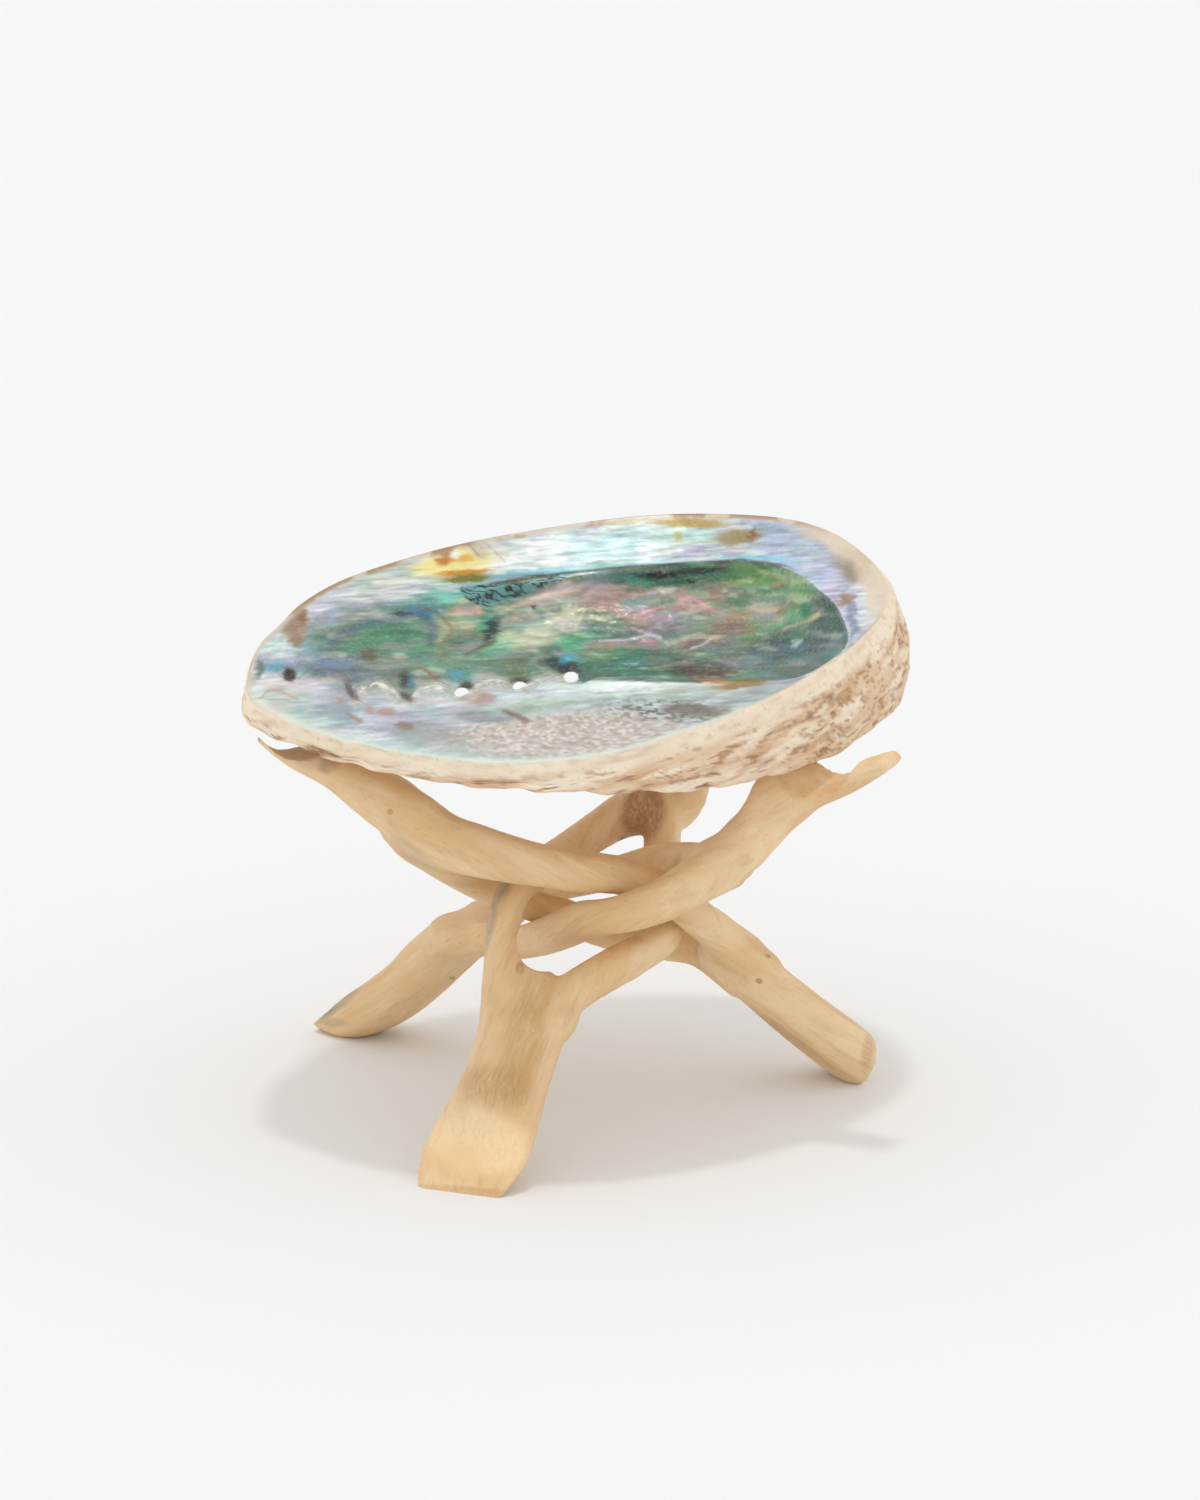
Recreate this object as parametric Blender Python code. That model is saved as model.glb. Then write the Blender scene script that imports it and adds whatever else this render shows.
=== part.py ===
# Abalone shell lying mouth up on a folding stand of three interlocked wooden legs.
# Units are metres in the scene; the tables below are in millimetres and degrees.
# World: +Z up, the floor is z = 0, and the origin ends up under the middle of the whole object.

import bpy
import bmesh
import numpy as np
from math import radians, cos, sin, pi
from mathutils import Matrix, Vector

MM = 0.001

# Driving sizes of the shell
SHELL_HALF_LENGTH = 74.0
SHELL_HALF_WIDTH = 60.0
SHELL_CENTRE = (2.4, 4.3, 105.0)
SHELL_YAW = 38.6
SHELL_TILT_LENGTHWISE = 9.3
SHELL_TILT_CROSSWISE = 6.5
BOWL_CENTRE = (24.0, 10.0)
BOWL_DEPTH = 20.0
WALL = 4.2
STEP_SLOPE_WIDTH = 1.4
SPOKES = 96
SEAT_GAP = 0.3

# Edge of the deep bowl, counter-clockwise from the spire side, in the shell's own plane:
# along the hole row on the near side, then along the ledge under the outer lip.
# Columns: u, v, depth below the rim plane, height of the sharp step down into the bowl.
BOWL_EDGE = [
    (-42.0, 23.0, 7.0, 0.3), (-35.0, 14.0, 8.0, 0.0), (-26.0, 6.5, 8.5, 0.0), (-15.5, 0.0, 9.0, 0.0),
    (-3.5, -4.0, 9.5, 0.0), (8.0, -16.0, 9.0, 0.4), (14.0, -32.0, 7.5, 0.8), (22.0, -48.0, 5.0, 1.0),
    (40.0, -44.0, 4.5, 1.6), (50.0, -31.0, 4.0, 2.2), (57.0, -15.0, 4.0, 2.4), (62.0, 2.0, 5.0, 2.6),
    (57.0, 18.0, 6.5, 2.6), (44.0, 31.0, 8.0, 2.6), (29.0, 41.0, 9.0, 2.4), (5.0, 47.0, 8.5, 2.0),
    (-15.0, 46.0, 7.5, 1.0), (-34.0, 38.0, 6.0, 0.4),
]
# How the bowl deepens inwards from its edge: 1 is a cone, larger is a flat floor with a steep wall.
BOWL_FLATNESS = [(0, 3.4), (60, 3.0), (110, 2.4), (150, 1.9), (185, 1.5), (230, 1.5), (255, 2.2), (280, 3.0), (330, 3.6)]
# How the band between the rim and the bowl edge bends: 1 is straight, larger is dished at the rim.
BAND_BEND = [(0, 1.2), (90, 1.1), (150, 1.2), (200, 1.25), (240, 1.3), (275, 1.6), (300, 1.6)]
# Outside, by direction: depth and width of the lip, depth of the foot of the steep wall, and how far
# that wall bulges past the rim.
LIP_DEPTH = [(0, 3.0), (90, 2.4), (160, 2.4), (195, 2.6), (210, 3.6), (235, 4.0), (280, 3.6), (320, 3.0)]
LIP_WIDTH = [(0, 2.2), (45, 1.8), (90, 1.2), (150, 1.2), (210, 1.6), (260, 2.4), (310, 2.6)]
WALL_FOOT = [(0, 19.0), (30, 15.5), (60, 11.5), (100, 8.5), (150, 6.4), (186, 4.4), (204, 4.6), (215, 5.4), (222, 6.2),
             (229, 8.8), (241, 14.0), (251, 16.5), (258, 18.5), (270, 20.8), (300, 22.0), (330, 21.0)]
WALL_BULGE = [(0, 2.4), (60, 1.6), (120, 1.0), (180, 0.6), (222, 0.8), (241, 1.8), (260, 2.6), (280, 3.0), (320, 2.8)]
# The rim is an ellipse moved in or out, and up or down, by a few millimetres: direction from the
# ellipse's centre, move.
RIM_SHAPE = [(2, 2.2), (10, 2.8), (22, 0.4), (45, -1.4), (59, -1.8), (72, -1.4), (94, -0.4), (108, 1.0), (123, 0.6),
             (132, -0.9), (140, 0.2), (152, 0.0), (166, 1.6), (175, -1.4), (195, -1.8), (206, -0.4), (219, 1.7),
             (232, 2.4), (241, 2.2), (251, 0.9), (274, -0.5), (290, -1.3), (308, -0.9), (319, -0.1), (350, 0.2)]
RIM_RISE = [(22, 0.0), (59, -0.6), (94, -0.1), (110, 0.3), (150, 0.0), (195, 0.4), (212, -0.3), (234, -1.1),
            (251, -0.4), (274, 0.2), (290, 0.5), (308, 0.3), (330, 0.0)]

# Breathing holes: place on the inside, depth there, and whether the hole is still open.
HOLES = [(-3.5, -4.0, 9.5, True), (-15.5, 0.0, 9.0, True), (-26.0, 6.5, 8.5, True),
         (-35.0, 14.0, 8.0, False), (-42.0, 21.5, 7.0, False), (-53.5, 30.0, 4.0, False)]
HOLE_RADIUS = 1.7
HOLE_DIRECTION = (0.50, 0.62, -0.60)
SPIRE = (-53.0, 12.0)

# Stand: where each foot stands and where its head meets the shell, in plan.
LEG_FOOT = {"leg_front": (-19.3, -63.6), "leg_left": (-45.3, 48.5), "leg_right": (64.6, 15.2)}
LEG_HEAD = {"leg_front": (22.0, 46.0), "leg_left": (48.0, -25.0), "leg_right": (-47.5, -26.0)}
FOOT_STATION = 66.5

# Each leg is a foot, two strands round an eye, and a head. A station is: distance along the leg,
# distance to its left, height of the middle, half width, half thickness.
FOOT = {
    "leg_front": [(-74, 1.0, 1.0, 10.6, 6.0), (-67, 0.9, 4.4, 11.0, 6.2), (-60, -0.4, 8.2, 11.2, 6.5),
                  (-52, -1.2, 14.2, 9.9, 6.2), (-44, -1.3, 20.6, 9.1, 5.8), (-37, -0.7, 25.8, 9.4, 5.5),
                  (-31, -1, 30.2, 10.0, 5.2)],
    "leg_left": [(-79, -4, 3.6, 4.6, 2.6), (-71, -1, 3.9, 8.4, 5.2), (-61, 0, 8.4, 9.2, 6.0),
                 (-52, 0, 15.4, 8.8, 5.9), (-45, -0.5, 21.8, 8.6, 6.0), (-37, -1.5, 28.4, 9.0, 5.6), (-31, -3, 31.6, 9.4, 5.2)],
    "leg_right": [(-73, 0, 1.4, 8.6, 5.6), (-69, 0, 3.6, 8.8, 6.0), (-63, 0, 8.0, 9.2, 6.3), (-56, 0, 14.0, 9.0, 6.2),
                  (-48, 0, 21, 8.6, 6.0), (-42, 0, 26.7, 8.8, 5.9), (-38, 0, 30.4, 9.2, 5.8)],
}
LEFT_STRAND = {
    "leg_front": [(-26, 8, 39, 3.8, 4.4), (-20, 9.6, 46, 3.5, 4.2), (-13, 9.8, 50.2, 3.5, 4.0), (0, 9, 52, 3.6, 4.0),
                  (12, 8, 52.6, 3.8, 4.0), (24, 4.5, 55.2, 4.0, 4.2), (31, 1, 57.2, 4.6, 5.0)],
    "leg_left": [(-26, 5, 36.6, 3.8, 4.0), (-18, 8, 41.4, 3.6, 3.8), (-8, 9, 44.8, 3.6, 3.7), (3, 8.4, 48.8, 3.6, 3.8),
                 (13, 8, 52.5, 3.8, 3.9), (23, 5, 54.6, 4.2, 4.4), (31, 0, 56, 4.8, 4.8)],
    "leg_right": [(-33, 4.6, 37.2, 4.0, 4.6), (-27, 7.2, 42.4, 3.7, 4.2), (-19, 8.8, 49, 3.6, 4.2), (-9, 9, 54, 3.7, 4.2), (3, 9, 56.4, 3.8, 4.4),
                  (15, 9, 59.6, 4.0, 5.0), (25, 8.4, 62.8, 4.4, 5.6), (32, 6, 65.5, 5.0, 6.0)],
}
RIGHT_STRAND = {
    "leg_front": [(-27, -7.5, 32, 4.2, 4.4), (-17, -11.5, 34.6, 4.0, 4.2), (-7, -15.5, 36.4, 3.9, 4.0),
                  (3, -18.2, 38.2, 3.7, 3.7), (11, -16.6, 40.4, 3.7, 3.6), (18, -13.0, 42.8, 3.8, 3.5), (25, -10, 49.6, 4.2, 4.2),
                  (31, -8, 56.2, 4.4, 4.8)],
    "leg_left": [(-24, -7, 32.0, 4.2, 4.0), (-12, -11, 33.8, 4.0, 3.8), (0, -15, 38.6, 4.0, 4.2), (10, -17.4, 43.6, 4.0, 4.4),
                 (17, -18, 46, 3.9, 4.0), (24, -17.6, 48.4, 4.0, 4.3), (32, -14.5, 52.4, 4.4, 4.8), (38, -9.5, 57, 4.8, 5.2)],
    "leg_right": [(-33, -5.8, 31.6, 4.2, 4.4), (-26, -10.6, 32.4, 4.0, 4.0), (-14, -14.5, 35.0, 4.0, 3.9), (-4, -16.5, 39.2, 3.8, 3.8),
                  (8, -16.5, 44.6, 3.7, 3.7), (18, -13, 50.5, 3.8, 4.0), (27, -7.5, 57.5, 4.2, 4.6), (34, -2, 63.5, 4.8, 5.2)],
}
HEAD = {
    "leg_front": [(37, -7, 60, 8.2, 5.6), (43, -6, 69, 7.8, 5.4), (48, -4, 77.5, 7.4, 5.4), (54, -2, 84, 6.8, 5.0),
                  (61, -1, 88, 6.2, 4.8), (69, 0, 92, 5.4, 3.4), (75, 0, 96, 4.2, 2.0)],
    "leg_left": [(40, -4.5, 59.8, 8.0, 5.4), (45, -2, 65.6, 7.8, 5.4), (49, 0, 71.4, 7.4, 6.0), (53.5, 0, 76.4, 7.0, 6.4),
                 (59, 0, 79.0, 6.4, 5.6), (65, 1.5, 80.6, 5.6, 4.2), (71, 2.5, 82.8, 4.8, 2.6), (77, 3, 86.2, 4.2, 1.6)],
    "leg_right": [(38, 3.5, 70.2, 7.8, 6.0), (44, 2, 75, 7.6, 5.6), (49, 0.5, 78.4, 7.2, 4.8), (54, 0, 81.4, 6.8, 4.0),
                  (61, 0, 84.8, 6.0, 3.2), (68.5, 0, 89.4, 4.6, 1.6)],
}
# The carved scoop behind the peak of a head: its middle along the leg, height, radius, and how much
# its axis climbs towards the leg's left.
SCOOP = {"leg_front": (64.0, 99.6, 10.0, 0.0), "leg_left": (61.5, 88.3, 9.6, 0.3), "leg_right": (61.5, 93.4, 8.6, 0.0)}
# The worn end face of a toe: two points of it, each a place along the leg and a height.
TOE = {"leg_front": ((-67.0, 0.0), (-57.0, 15.0)), "leg_right": ((-66.5, 0.0), (-71.2, 10.5))}
TOE_BLOCK = 60.0
LEG_VOXEL = 1.0
LEG_TRIANGLES = 1300

WOOD = (0.72, 0.55, 0.36, 1.0)
NACRE = (0.62, 0.68, 0.62, 1.0)


def clear_scene():
    for thing in list(bpy.data.objects):
        bpy.data.objects.remove(thing, do_unlink=True)


def make_material(name, colour, roughness):
    material = bpy.data.materials.new(name)
    material.use_nodes = True
    shader = material.node_tree.nodes["Principled BSDF"]
    shader.inputs["Base Color"].default_value = colour
    shader.inputs["Roughness"].default_value = roughness
    shader.inputs["Metallic"].default_value = 0.0
    material.diffuse_color = colour
    return material


def around(table, directions, blur=9):
    """Value of a table of (degrees, value) at each direction, smooth and periodic."""
    angles = np.array([row[0] for row in table], float)
    values = np.array([row[1] for row in table], float)
    fine = np.arange(0.0, 360.0, 0.5)
    line = np.interp(fine, angles, values, period=360.0)
    half = int(blur / 0.5)
    window = np.hanning(2 * half + 3)[1:-1]
    window /= window.sum()
    padded = np.concatenate([line[-half:], line, line[:half]])
    soft = np.convolve(padded, window, mode="valid")
    return np.interp(directions, fine, soft, period=360.0)


def rim_radius(directions):
    """Distance from the bowl centre to the rim in each direction, lobes included."""
    a = SHELL_HALF_LENGTH
    b = SHELL_HALF_WIDTH
    cx, cy = BOWL_CENTRE
    dx = np.cos(np.radians(directions))
    dy = np.sin(np.radians(directions))
    qa = dx * dx / a ** 2 + dy * dy / b ** 2
    qb = cx * dx / a ** 2 + cy * dy / b ** 2
    qc = cx * cx / a ** 2 + cy * cy / b ** 2 - 1.0
    radius = (-qb + np.sqrt(qb * qb - qa * qc)) / qa
    polar = np.degrees(np.arctan2(cy + radius * dy, cx + radius * dx))
    return radius + around(RIM_SHAPE, polar, 6)


def rim_rise(directions):
    """How far the rim stands above its plane in each direction."""
    rim = rim_radius(directions)
    polar = np.degrees(np.arctan2(BOWL_CENTRE[1] + rim * np.sin(np.radians(directions)),
                                  BOWL_CENTRE[0] + rim * np.cos(np.radians(directions))))
    return around(RIM_RISE, polar, 12)


def bowl_edge(directions):
    """Radius, depth and step height of the bowl edge in each direction."""
    cx, cy = BOWL_CENTRE
    rows = []
    for u, v, depth, step in BOWL_EDGE:
        angle = np.degrees(np.arctan2(v - cy, u - cx)) % 360.0
        rows.append((angle, np.hypot(u - cx, v - cy), depth, step))
    rows.sort()
    radius = around([(r[0], r[1]) for r in rows], directions, 7)
    depth = around([(r[0], r[2]) for r in rows], directions)
    step = around([(r[0], r[3]) for r in rows], directions)
    return radius, depth, step


def row_relief(u, v):
    """Extra depth along the hole row: a funnel at each hole and a rope-like ridge beyond it."""
    extra = np.zeros_like(u)
    for hu, hv, _, is_open in HOLES:
        along = (u - hu) * 0.78 - (v - hv) * 0.62
        across = (u - hu) * 0.62 + (v - hv) * 0.78
        size = 2.6 if is_open else 2.2
        extra += size * np.exp(-(along / 3.6) ** 2 - ((across - 1.5) / 3.4) ** 2)
        extra -= 1.5 * np.exp(-((along + 5.0) / 3.0) ** 2 - ((across - 4.0) / 3.2) ** 2)
    return extra


def rounded_power(t, power):
    """t to a power, with the tip of the curve at t = 0 rounded off."""
    soft = 0.3
    return ((t * t + soft * soft) ** (power / 2) - soft ** power) / ((1 + soft * soft) ** (power / 2) - soft ** power)


def blend_to_mean(depth, t):
    """Near the middle of the bowl the directions share one depth, so that no crease starts there."""
    share = max(0.0, 1.0 - t) ** 1.6
    return depth * (1.0 - share) + depth.mean() * share


def plain_depth(radius, directions):
    """Depth of the inside without its sharp step and without the relief of the hole row."""
    rim = rim_radius(directions)
    edge, edge_depth, _ = bowl_edge(directions)
    edge = np.minimum(edge, rim - 3.0)
    t = np.clip(radius / edge, 0.0, 1.0)
    b = np.clip((radius - edge) / (rim - edge), 0.0, 1.0)
    bowl = edge_depth + (BOWL_DEPTH - edge_depth) * (1.0 - rounded_power(t, around(BOWL_FLATNESS, directions, 24)))
    band = edge_depth * (1.0 - b ** around(BAND_BEND, directions))
    return np.where(radius < edge, bowl, band)


def inside_points(directions):
    """Rings of the inside surface from the bowl centre to the rim, as u, v, depth arrays."""
    rim = rim_radius(directions)
    edge, edge_depth, step = bowl_edge(directions)
    edge = np.minimum(edge, rim - 3.0)
    flatness = around(BOWL_FLATNESS, directions, 24)
    bend = around(BAND_BEND, directions)
    dx = np.cos(np.radians(directions))
    dy = np.sin(np.radians(directions))
    rings = []
    for t in (0.16, 0.33, 0.49, 0.63, 0.75, 0.85, 0.93, 1.0):
        radius = (edge - STEP_SLOPE_WIDTH) * t
        top = edge_depth + step
        depth = top + (BOWL_DEPTH - top) * (1.0 - rounded_power(t, flatness))
        rings.append((radius, blend_to_mean(depth, t)))
    for b in (0.0, 0.18, 0.38, 0.58, 0.78, 0.92, 1.0):
        radius = edge + (rim - edge) * b
        depth = edge_depth * (1.0 - b ** bend)
        rings.append((radius, depth))
    points = []
    for radius, depth in rings:
        u = BOWL_CENTRE[0] + radius * dx
        v = BOWL_CENTRE[1] + radius * dy
        fade = np.clip((rim - radius) / 10.0, 0.0, 1.0)
        rise = rim_rise(directions) * (radius / rim) ** 3
        points.append((u, v, depth + row_relief(u, v) * fade - rise))
    return points


def worn_layers(u, v, directions, depth):
    """Growth ridges and worn lumps of the outside, in millimetres."""
    du = u - SPIRE[0]
    dv = v - SPIRE[1]
    reach = np.hypot(du, dv * 1.15) + depth * 0.5
    ridges = 0.55 * np.sin(reach * 0.62 + 0.9 * np.sin(np.radians(directions) * 3.0))
    lumps = 0.45 * np.sin(u * 0.33 + 1.3) * np.sin(v * 0.29 - 0.7) + 0.3 * np.sin(u * 0.71 - v * 0.57 + depth * 0.4)
    return ridges + lumps


def outside_points(directions, grow=0.0):
    """Rings of the outside from its lowest point, along the underside, up the wall to the lip."""
    rim = rim_radius(directions)
    lip_depth = around(LIP_DEPTH, directions)
    lip_width = around(LIP_WIDTH, directions)
    foot = around(WALL_FOOT, directions)
    bulge = around(WALL_BULGE, directions)
    dx = np.cos(np.radians(directions))
    dy = np.sin(np.radians(directions))
    rings = []
    for rho in (0.14, 0.3, 0.46, 0.6, 0.72, 0.82, 0.9, 0.95):
        thin = plain_depth(rho * rim, directions)
        if rho < 0.6:
            thin = blend_to_mean(thin, rho / 0.6)
        thin = thin + WALL
        level = foot * (1.06 - 0.06 * rho)
        depth = 0.5 * (thin + level + np.sqrt((thin - level) ** 2 + 4.0))
        rings.append((rho * rim, depth, 1.0))
    for down, out in ((1.0, -0.2), (0.9, 0.6), (0.7, 1.0), (0.4, 0.85)):
        depth = lip_depth + (foot - lip_depth) * down
        rings.append((rim + lip_width * 0.9 + bulge * out, depth, 0.6))
    rings.append((rim + lip_width, lip_depth, 0.3))
    points = []
    for radius, depth, roughness in rings:
        u = BOWL_CENTRE[0] + radius * dx
        v = BOWL_CENTRE[1] + radius * dy
        hump = 5.0 * np.exp(-((u - SPIRE[0]) / 14.0) ** 2 - ((v - SPIRE[1]) / 12.0) ** 2)
        for hu, hv, _, _ in HOLES[:5]:
            hump = hump + 0.8 * np.exp(-((u - hu - 4.0) / 4.5) ** 2 - ((v - hv - 5.0) / 4.5) ** 2)
        depth = depth + hump * np.clip((rim - radius) / 8.0, 0.0, 1.0)
        wear = worn_layers(u, v, directions, depth) * roughness
        share = min(1.0, roughness * 1.2 - 0.2)
        outward = wear * (1.0 - share) + grow
        if roughness == 1.0:
            outward = 0.0
        rise = rim_rise(directions) * (np.minimum(radius, rim) / rim) ** 3
        points.append((u + outward * dx, v + outward * dy, depth + wear * share + grow - rise))
    return points


def shell_matrix():
    """From the shell's own u, v, w axes to the world."""
    yaw = radians(SHELL_YAW)
    u = Vector((cos(yaw), sin(yaw), 0.0))
    v = Vector((-sin(yaw), cos(yaw), 0.0))
    w = Vector((0.0, 0.0, 1.0))
    a = radians(SHELL_TILT_LENGTHWISE)
    u, w = u * cos(a) + w * sin(a), w * cos(a) - u * sin(a)
    b = radians(SHELL_TILT_CROSSWISE)
    v, w = v * cos(b) + w * sin(b), w * cos(b) - v * sin(b)
    turn = Matrix((u, v, w)).transposed().to_4x4()
    return Matrix.Translation(Vector(SHELL_CENTRE) * MM) @ turn


def ring_vertices(mesh, u, v, depth):
    return [mesh.verts.new((a * MM, b * MM, -c * MM)) for a, b, c in zip(u, v, depth)]


def bridge(mesh, ring_a, ring_b):
    count = len(ring_a)
    for i in range(count):
        j = (i + 1) % count
        mesh.faces.new((ring_a[i], ring_a[j], ring_b[j], ring_b[i]))


def fan(mesh, centre, ring):
    count = len(ring)
    for i in range(count):
        mesh.faces.new((centre, ring[i], ring[(i + 1) % count]))


def finish_object(name, mesh, material, sharp=50.0):
    bmesh.ops.recalc_face_normals(mesh, faces=mesh.faces)
    data = bpy.data.meshes.new(name)
    mesh.to_mesh(data)
    mesh.free()
    data.materials.append(material)
    data.shade_smooth()
    data.set_sharp_from_angle(angle=radians(sharp))
    thing = bpy.data.objects.new(name, data)
    bpy.context.scene.collection.objects.link(thing)
    return thing


def add_modifier_and_apply(thing, kind, **settings):
    """Add one modifier, set it, and keep its result as the object's mesh."""
    modifier = thing.modifiers.new(kind.title(), kind)
    for key, value in settings.items():
        setattr(modifier, key, value)
    depsgraph = bpy.context.evaluated_depsgraph_get()
    result = bpy.data.meshes.new_from_object(thing.evaluated_get(depsgraph))
    thing.modifiers.clear()
    old = thing.data
    thing.data = result
    bpy.data.meshes.remove(old)


def cut(thing, cutter):
    add_modifier_and_apply(thing, "BOOLEAN", operation="DIFFERENCE", solver="EXACT", object=cutter)
    bpy.data.objects.remove(cutter, do_unlink=True)


def cylinder(name, middle, direction, radius, length, sides, material):
    mesh = bmesh.new()
    turn = Vector((0.0, 0.0, 1.0)).rotation_difference(Vector(direction)).to_matrix().to_4x4()
    place = Matrix.Translation(Vector(middle) * MM) @ turn
    bmesh.ops.create_cone(mesh, cap_ends=True, segments=sides, radius1=radius * MM, radius2=radius * MM,
                          depth=length * MM, matrix=place)
    return finish_object(name, mesh, material)


def make_shell(material):
    directions = np.arange(SPOKES) * 360.0 / SPOKES
    mesh = bmesh.new()
    inner = inside_points(directions)
    outer = outside_points(directions)
    bottom = mesh.verts.new((BOWL_CENTRE[0] * MM, BOWL_CENTRE[1] * MM, -BOWL_DEPTH * MM))
    ring = ring_vertices(mesh, *inner[0])
    fan(mesh, bottom, ring)
    for points in inner[1:]:
        following = ring_vertices(mesh, *points)
        bridge(mesh, ring, following)
        ring = following
    for points in reversed(outer):
        following = ring_vertices(mesh, *points)
        bridge(mesh, ring, following)
        ring = following
    under = mesh.verts.new((BOWL_CENTRE[0] * MM, BOWL_CENTRE[1] * MM, -(BOWL_DEPTH + WALL) * MM))
    fan(mesh, under, list(reversed(ring)))
    shell = finish_object("shell", mesh, material)
    for u, v, depth, is_open in HOLES:
        if is_open:
            start = Vector((u, v, -depth - 1.0))
            cut(shell, cylinder("hole", start, HOLE_DIRECTION, HOLE_RADIUS, 36.0, 10, material))
    shell.data.transform(shell_matrix())
    return shell


def make_seat_cutter(material):
    """The outside of the shell grown by the seat gap, closed above: it shapes the peaks of the legs."""
    directions = np.arange(SPOKES) * 360.0 / SPOKES
    mesh = bmesh.new()
    outer = outside_points(directions, SEAT_GAP)
    under = mesh.verts.new((BOWL_CENTRE[0] * MM, BOWL_CENTRE[1] * MM, -(BOWL_DEPTH + WALL + SEAT_GAP) * MM))
    ring = ring_vertices(mesh, *outer[0])
    fan(mesh, under, ring)
    for points in outer[1:]:
        following = ring_vertices(mesh, *points)
        bridge(mesh, ring, following)
        ring = following
    lid = mesh.verts.new((BOWL_CENTRE[0] * MM, BOWL_CENTRE[1] * MM, 12.0 * MM))
    fan(mesh, lid, list(reversed(ring)))
    cutter = finish_object("seat_cutter", mesh, material)
    cutter.data.transform(shell_matrix())
    cutter.hide_render = True
    cutter.display_type = "WIRE"
    return cutter


def leg_axis(name):
    """Plan position of a leg's foot, its direction and the direction to its left."""
    foot = Vector(LEG_FOOT[name])
    along = (Vector(LEG_HEAD[name]) - foot).normalized()
    left = Vector((-along.y, along.x))
    return foot, along, left


def leg_point(name, s, n, z):
    foot, along, left = leg_axis(name)
    plan = foot + along * (s + FOOT_STATION) + left * n
    return Vector((plan.x, plan.y, z))


def smooth_stations(stations, per_span=4):
    """Catmull-Rom curve through the stations, all columns at once."""
    rows = np.array(stations, float)
    ends = np.vstack([2 * rows[0] - rows[1], rows, 2 * rows[-1] - rows[-2]])
    curve = []
    for i in range(1, len(ends) - 2):
        p0, p1, p2, p3 = ends[i - 1], ends[i], ends[i + 1], ends[i + 2]
        for k in range(per_span):
            t = k / per_span
            curve.append(0.5 * (2 * p1 + (p2 - p0) * t + (2 * p0 - 5 * p1 + 4 * p2 - p3) * t ** 2
                                + (3 * p1 - p0 - 3 * p2 + p3) * t ** 3))
    curve.append(ends[-2])
    return np.array(curve)


def add_tube(mesh, name, stations, sides=16, squareness=2.6):
    """A closed bar whose section is a rounded rectangle, along the stations."""
    rows = smooth_stations(stations)
    middles = [leg_point(name, r[0], r[1], r[2]) for r in rows]
    rings = []
    for i, row in enumerate(rows):
        before = middles[max(i - 1, 0)]
        after = middles[min(i + 1, len(rows) - 1)]
        forward = (after - before).normalized()
        side = Vector((0.0, 0.0, 1.0)).cross(forward).normalized()
        up = forward.cross(side).normalized()
        ring = []
        for k in range(sides):
            angle = 2 * pi * k / sides
            x = abs(cos(angle)) ** (2 / squareness) * (1 if cos(angle) >= 0 else -1)
            y = abs(sin(angle)) ** (2 / squareness) * (1 if sin(angle) >= 0 else -1)
            ring.append(mesh.verts.new((middles[i] + side * (x * row[3]) + up * (y * row[4])) * MM))
        rings.append(ring)
    for ring_a, ring_b in zip(rings, rings[1:]):
        bridge(mesh, ring_a, ring_b)
    mesh.faces.new(list(reversed(rings[0])))
    mesh.faces.new(rings[-1])


def make_leg(name, material, seat):
    foot = FOOT[name]
    head = HEAD[name]
    mesh = bmesh.new()
    add_tube(mesh, name, foot + [LEFT_STRAND[name][0]])
    add_tube(mesh, name, [foot[-2]] + LEFT_STRAND[name] + [head[0], head[1]])
    add_tube(mesh, name, [foot[-2]] + RIGHT_STRAND[name] + [head[0], head[1]])
    add_tube(mesh, name, [LEFT_STRAND[name][-1]] + head)
    leg = finish_object(name, mesh, material, 40.0)
    add_modifier_and_apply(leg, "REMESH", mode="VOXEL", voxel_size=LEG_VOXEL * MM, adaptivity=0.0)
    add_modifier_and_apply(leg, "SMOOTH", factor=0.5, iterations=2)
    share = LEG_TRIANGLES / (2.0 * len(leg.data.polygons))
    add_modifier_and_apply(leg, "DECIMATE", ratio=share)
    s, z, radius, climb = SCOOP[name]
    _, _, left = leg_axis(name)
    middle = leg_point(name, s, 0.0, z)
    cut(leg, cylinder("scoop", middle, (left.x, left.y, climb), radius, 40.0, 20, material))
    if name in TOE:
        cut(leg, toe_block(name, material))
    cut(leg, floor_block(material))
    keep_seat = seat.copy()
    bpy.context.scene.collection.objects.link(keep_seat)
    cut(leg, keep_seat)
    leg.data.shade_smooth()
    leg.data.set_sharp_from_angle(angle=radians(40.0))
    return leg


def toe_block(name, material):
    """Everything beyond the worn end face of the toe."""
    (s0, z0), (s1, z1) = TOE[name]
    run = Vector((s1 - s0, z1 - z0)).normalized()
    out = Vector((-run.y, run.x))
    half = TOE_BLOCK / 2
    mesh = bmesh.new()
    corners = []
    for along, beyond in ((-half, 0.0), (half, 0.0), (half, half), (-half, half)):
        s = s0 + run.x * along + out.x * beyond
        z = z0 + run.y * along + out.y * beyond
        corners.append([mesh.verts.new(leg_point(name, s, n, z) * MM) for n in (-half, half)])
    for first, second in zip(corners, corners[1:] + corners[:1]):
        mesh.faces.new((first[0], second[0], second[1], first[1]))
    mesh.faces.new([pair[0] for pair in reversed(corners)])
    mesh.faces.new([pair[1] for pair in corners])
    return finish_object("toe_block", mesh, material)


def floor_block(material):
    """Everything below the floor, cut from each leg so that it stands on a flat sole."""
    mesh = bmesh.new()
    bmesh.ops.create_cube(mesh, size=0.4, matrix=Matrix.Translation((0.0, 0.0, -0.2)))
    return finish_object("floor_block", mesh, material)


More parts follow.
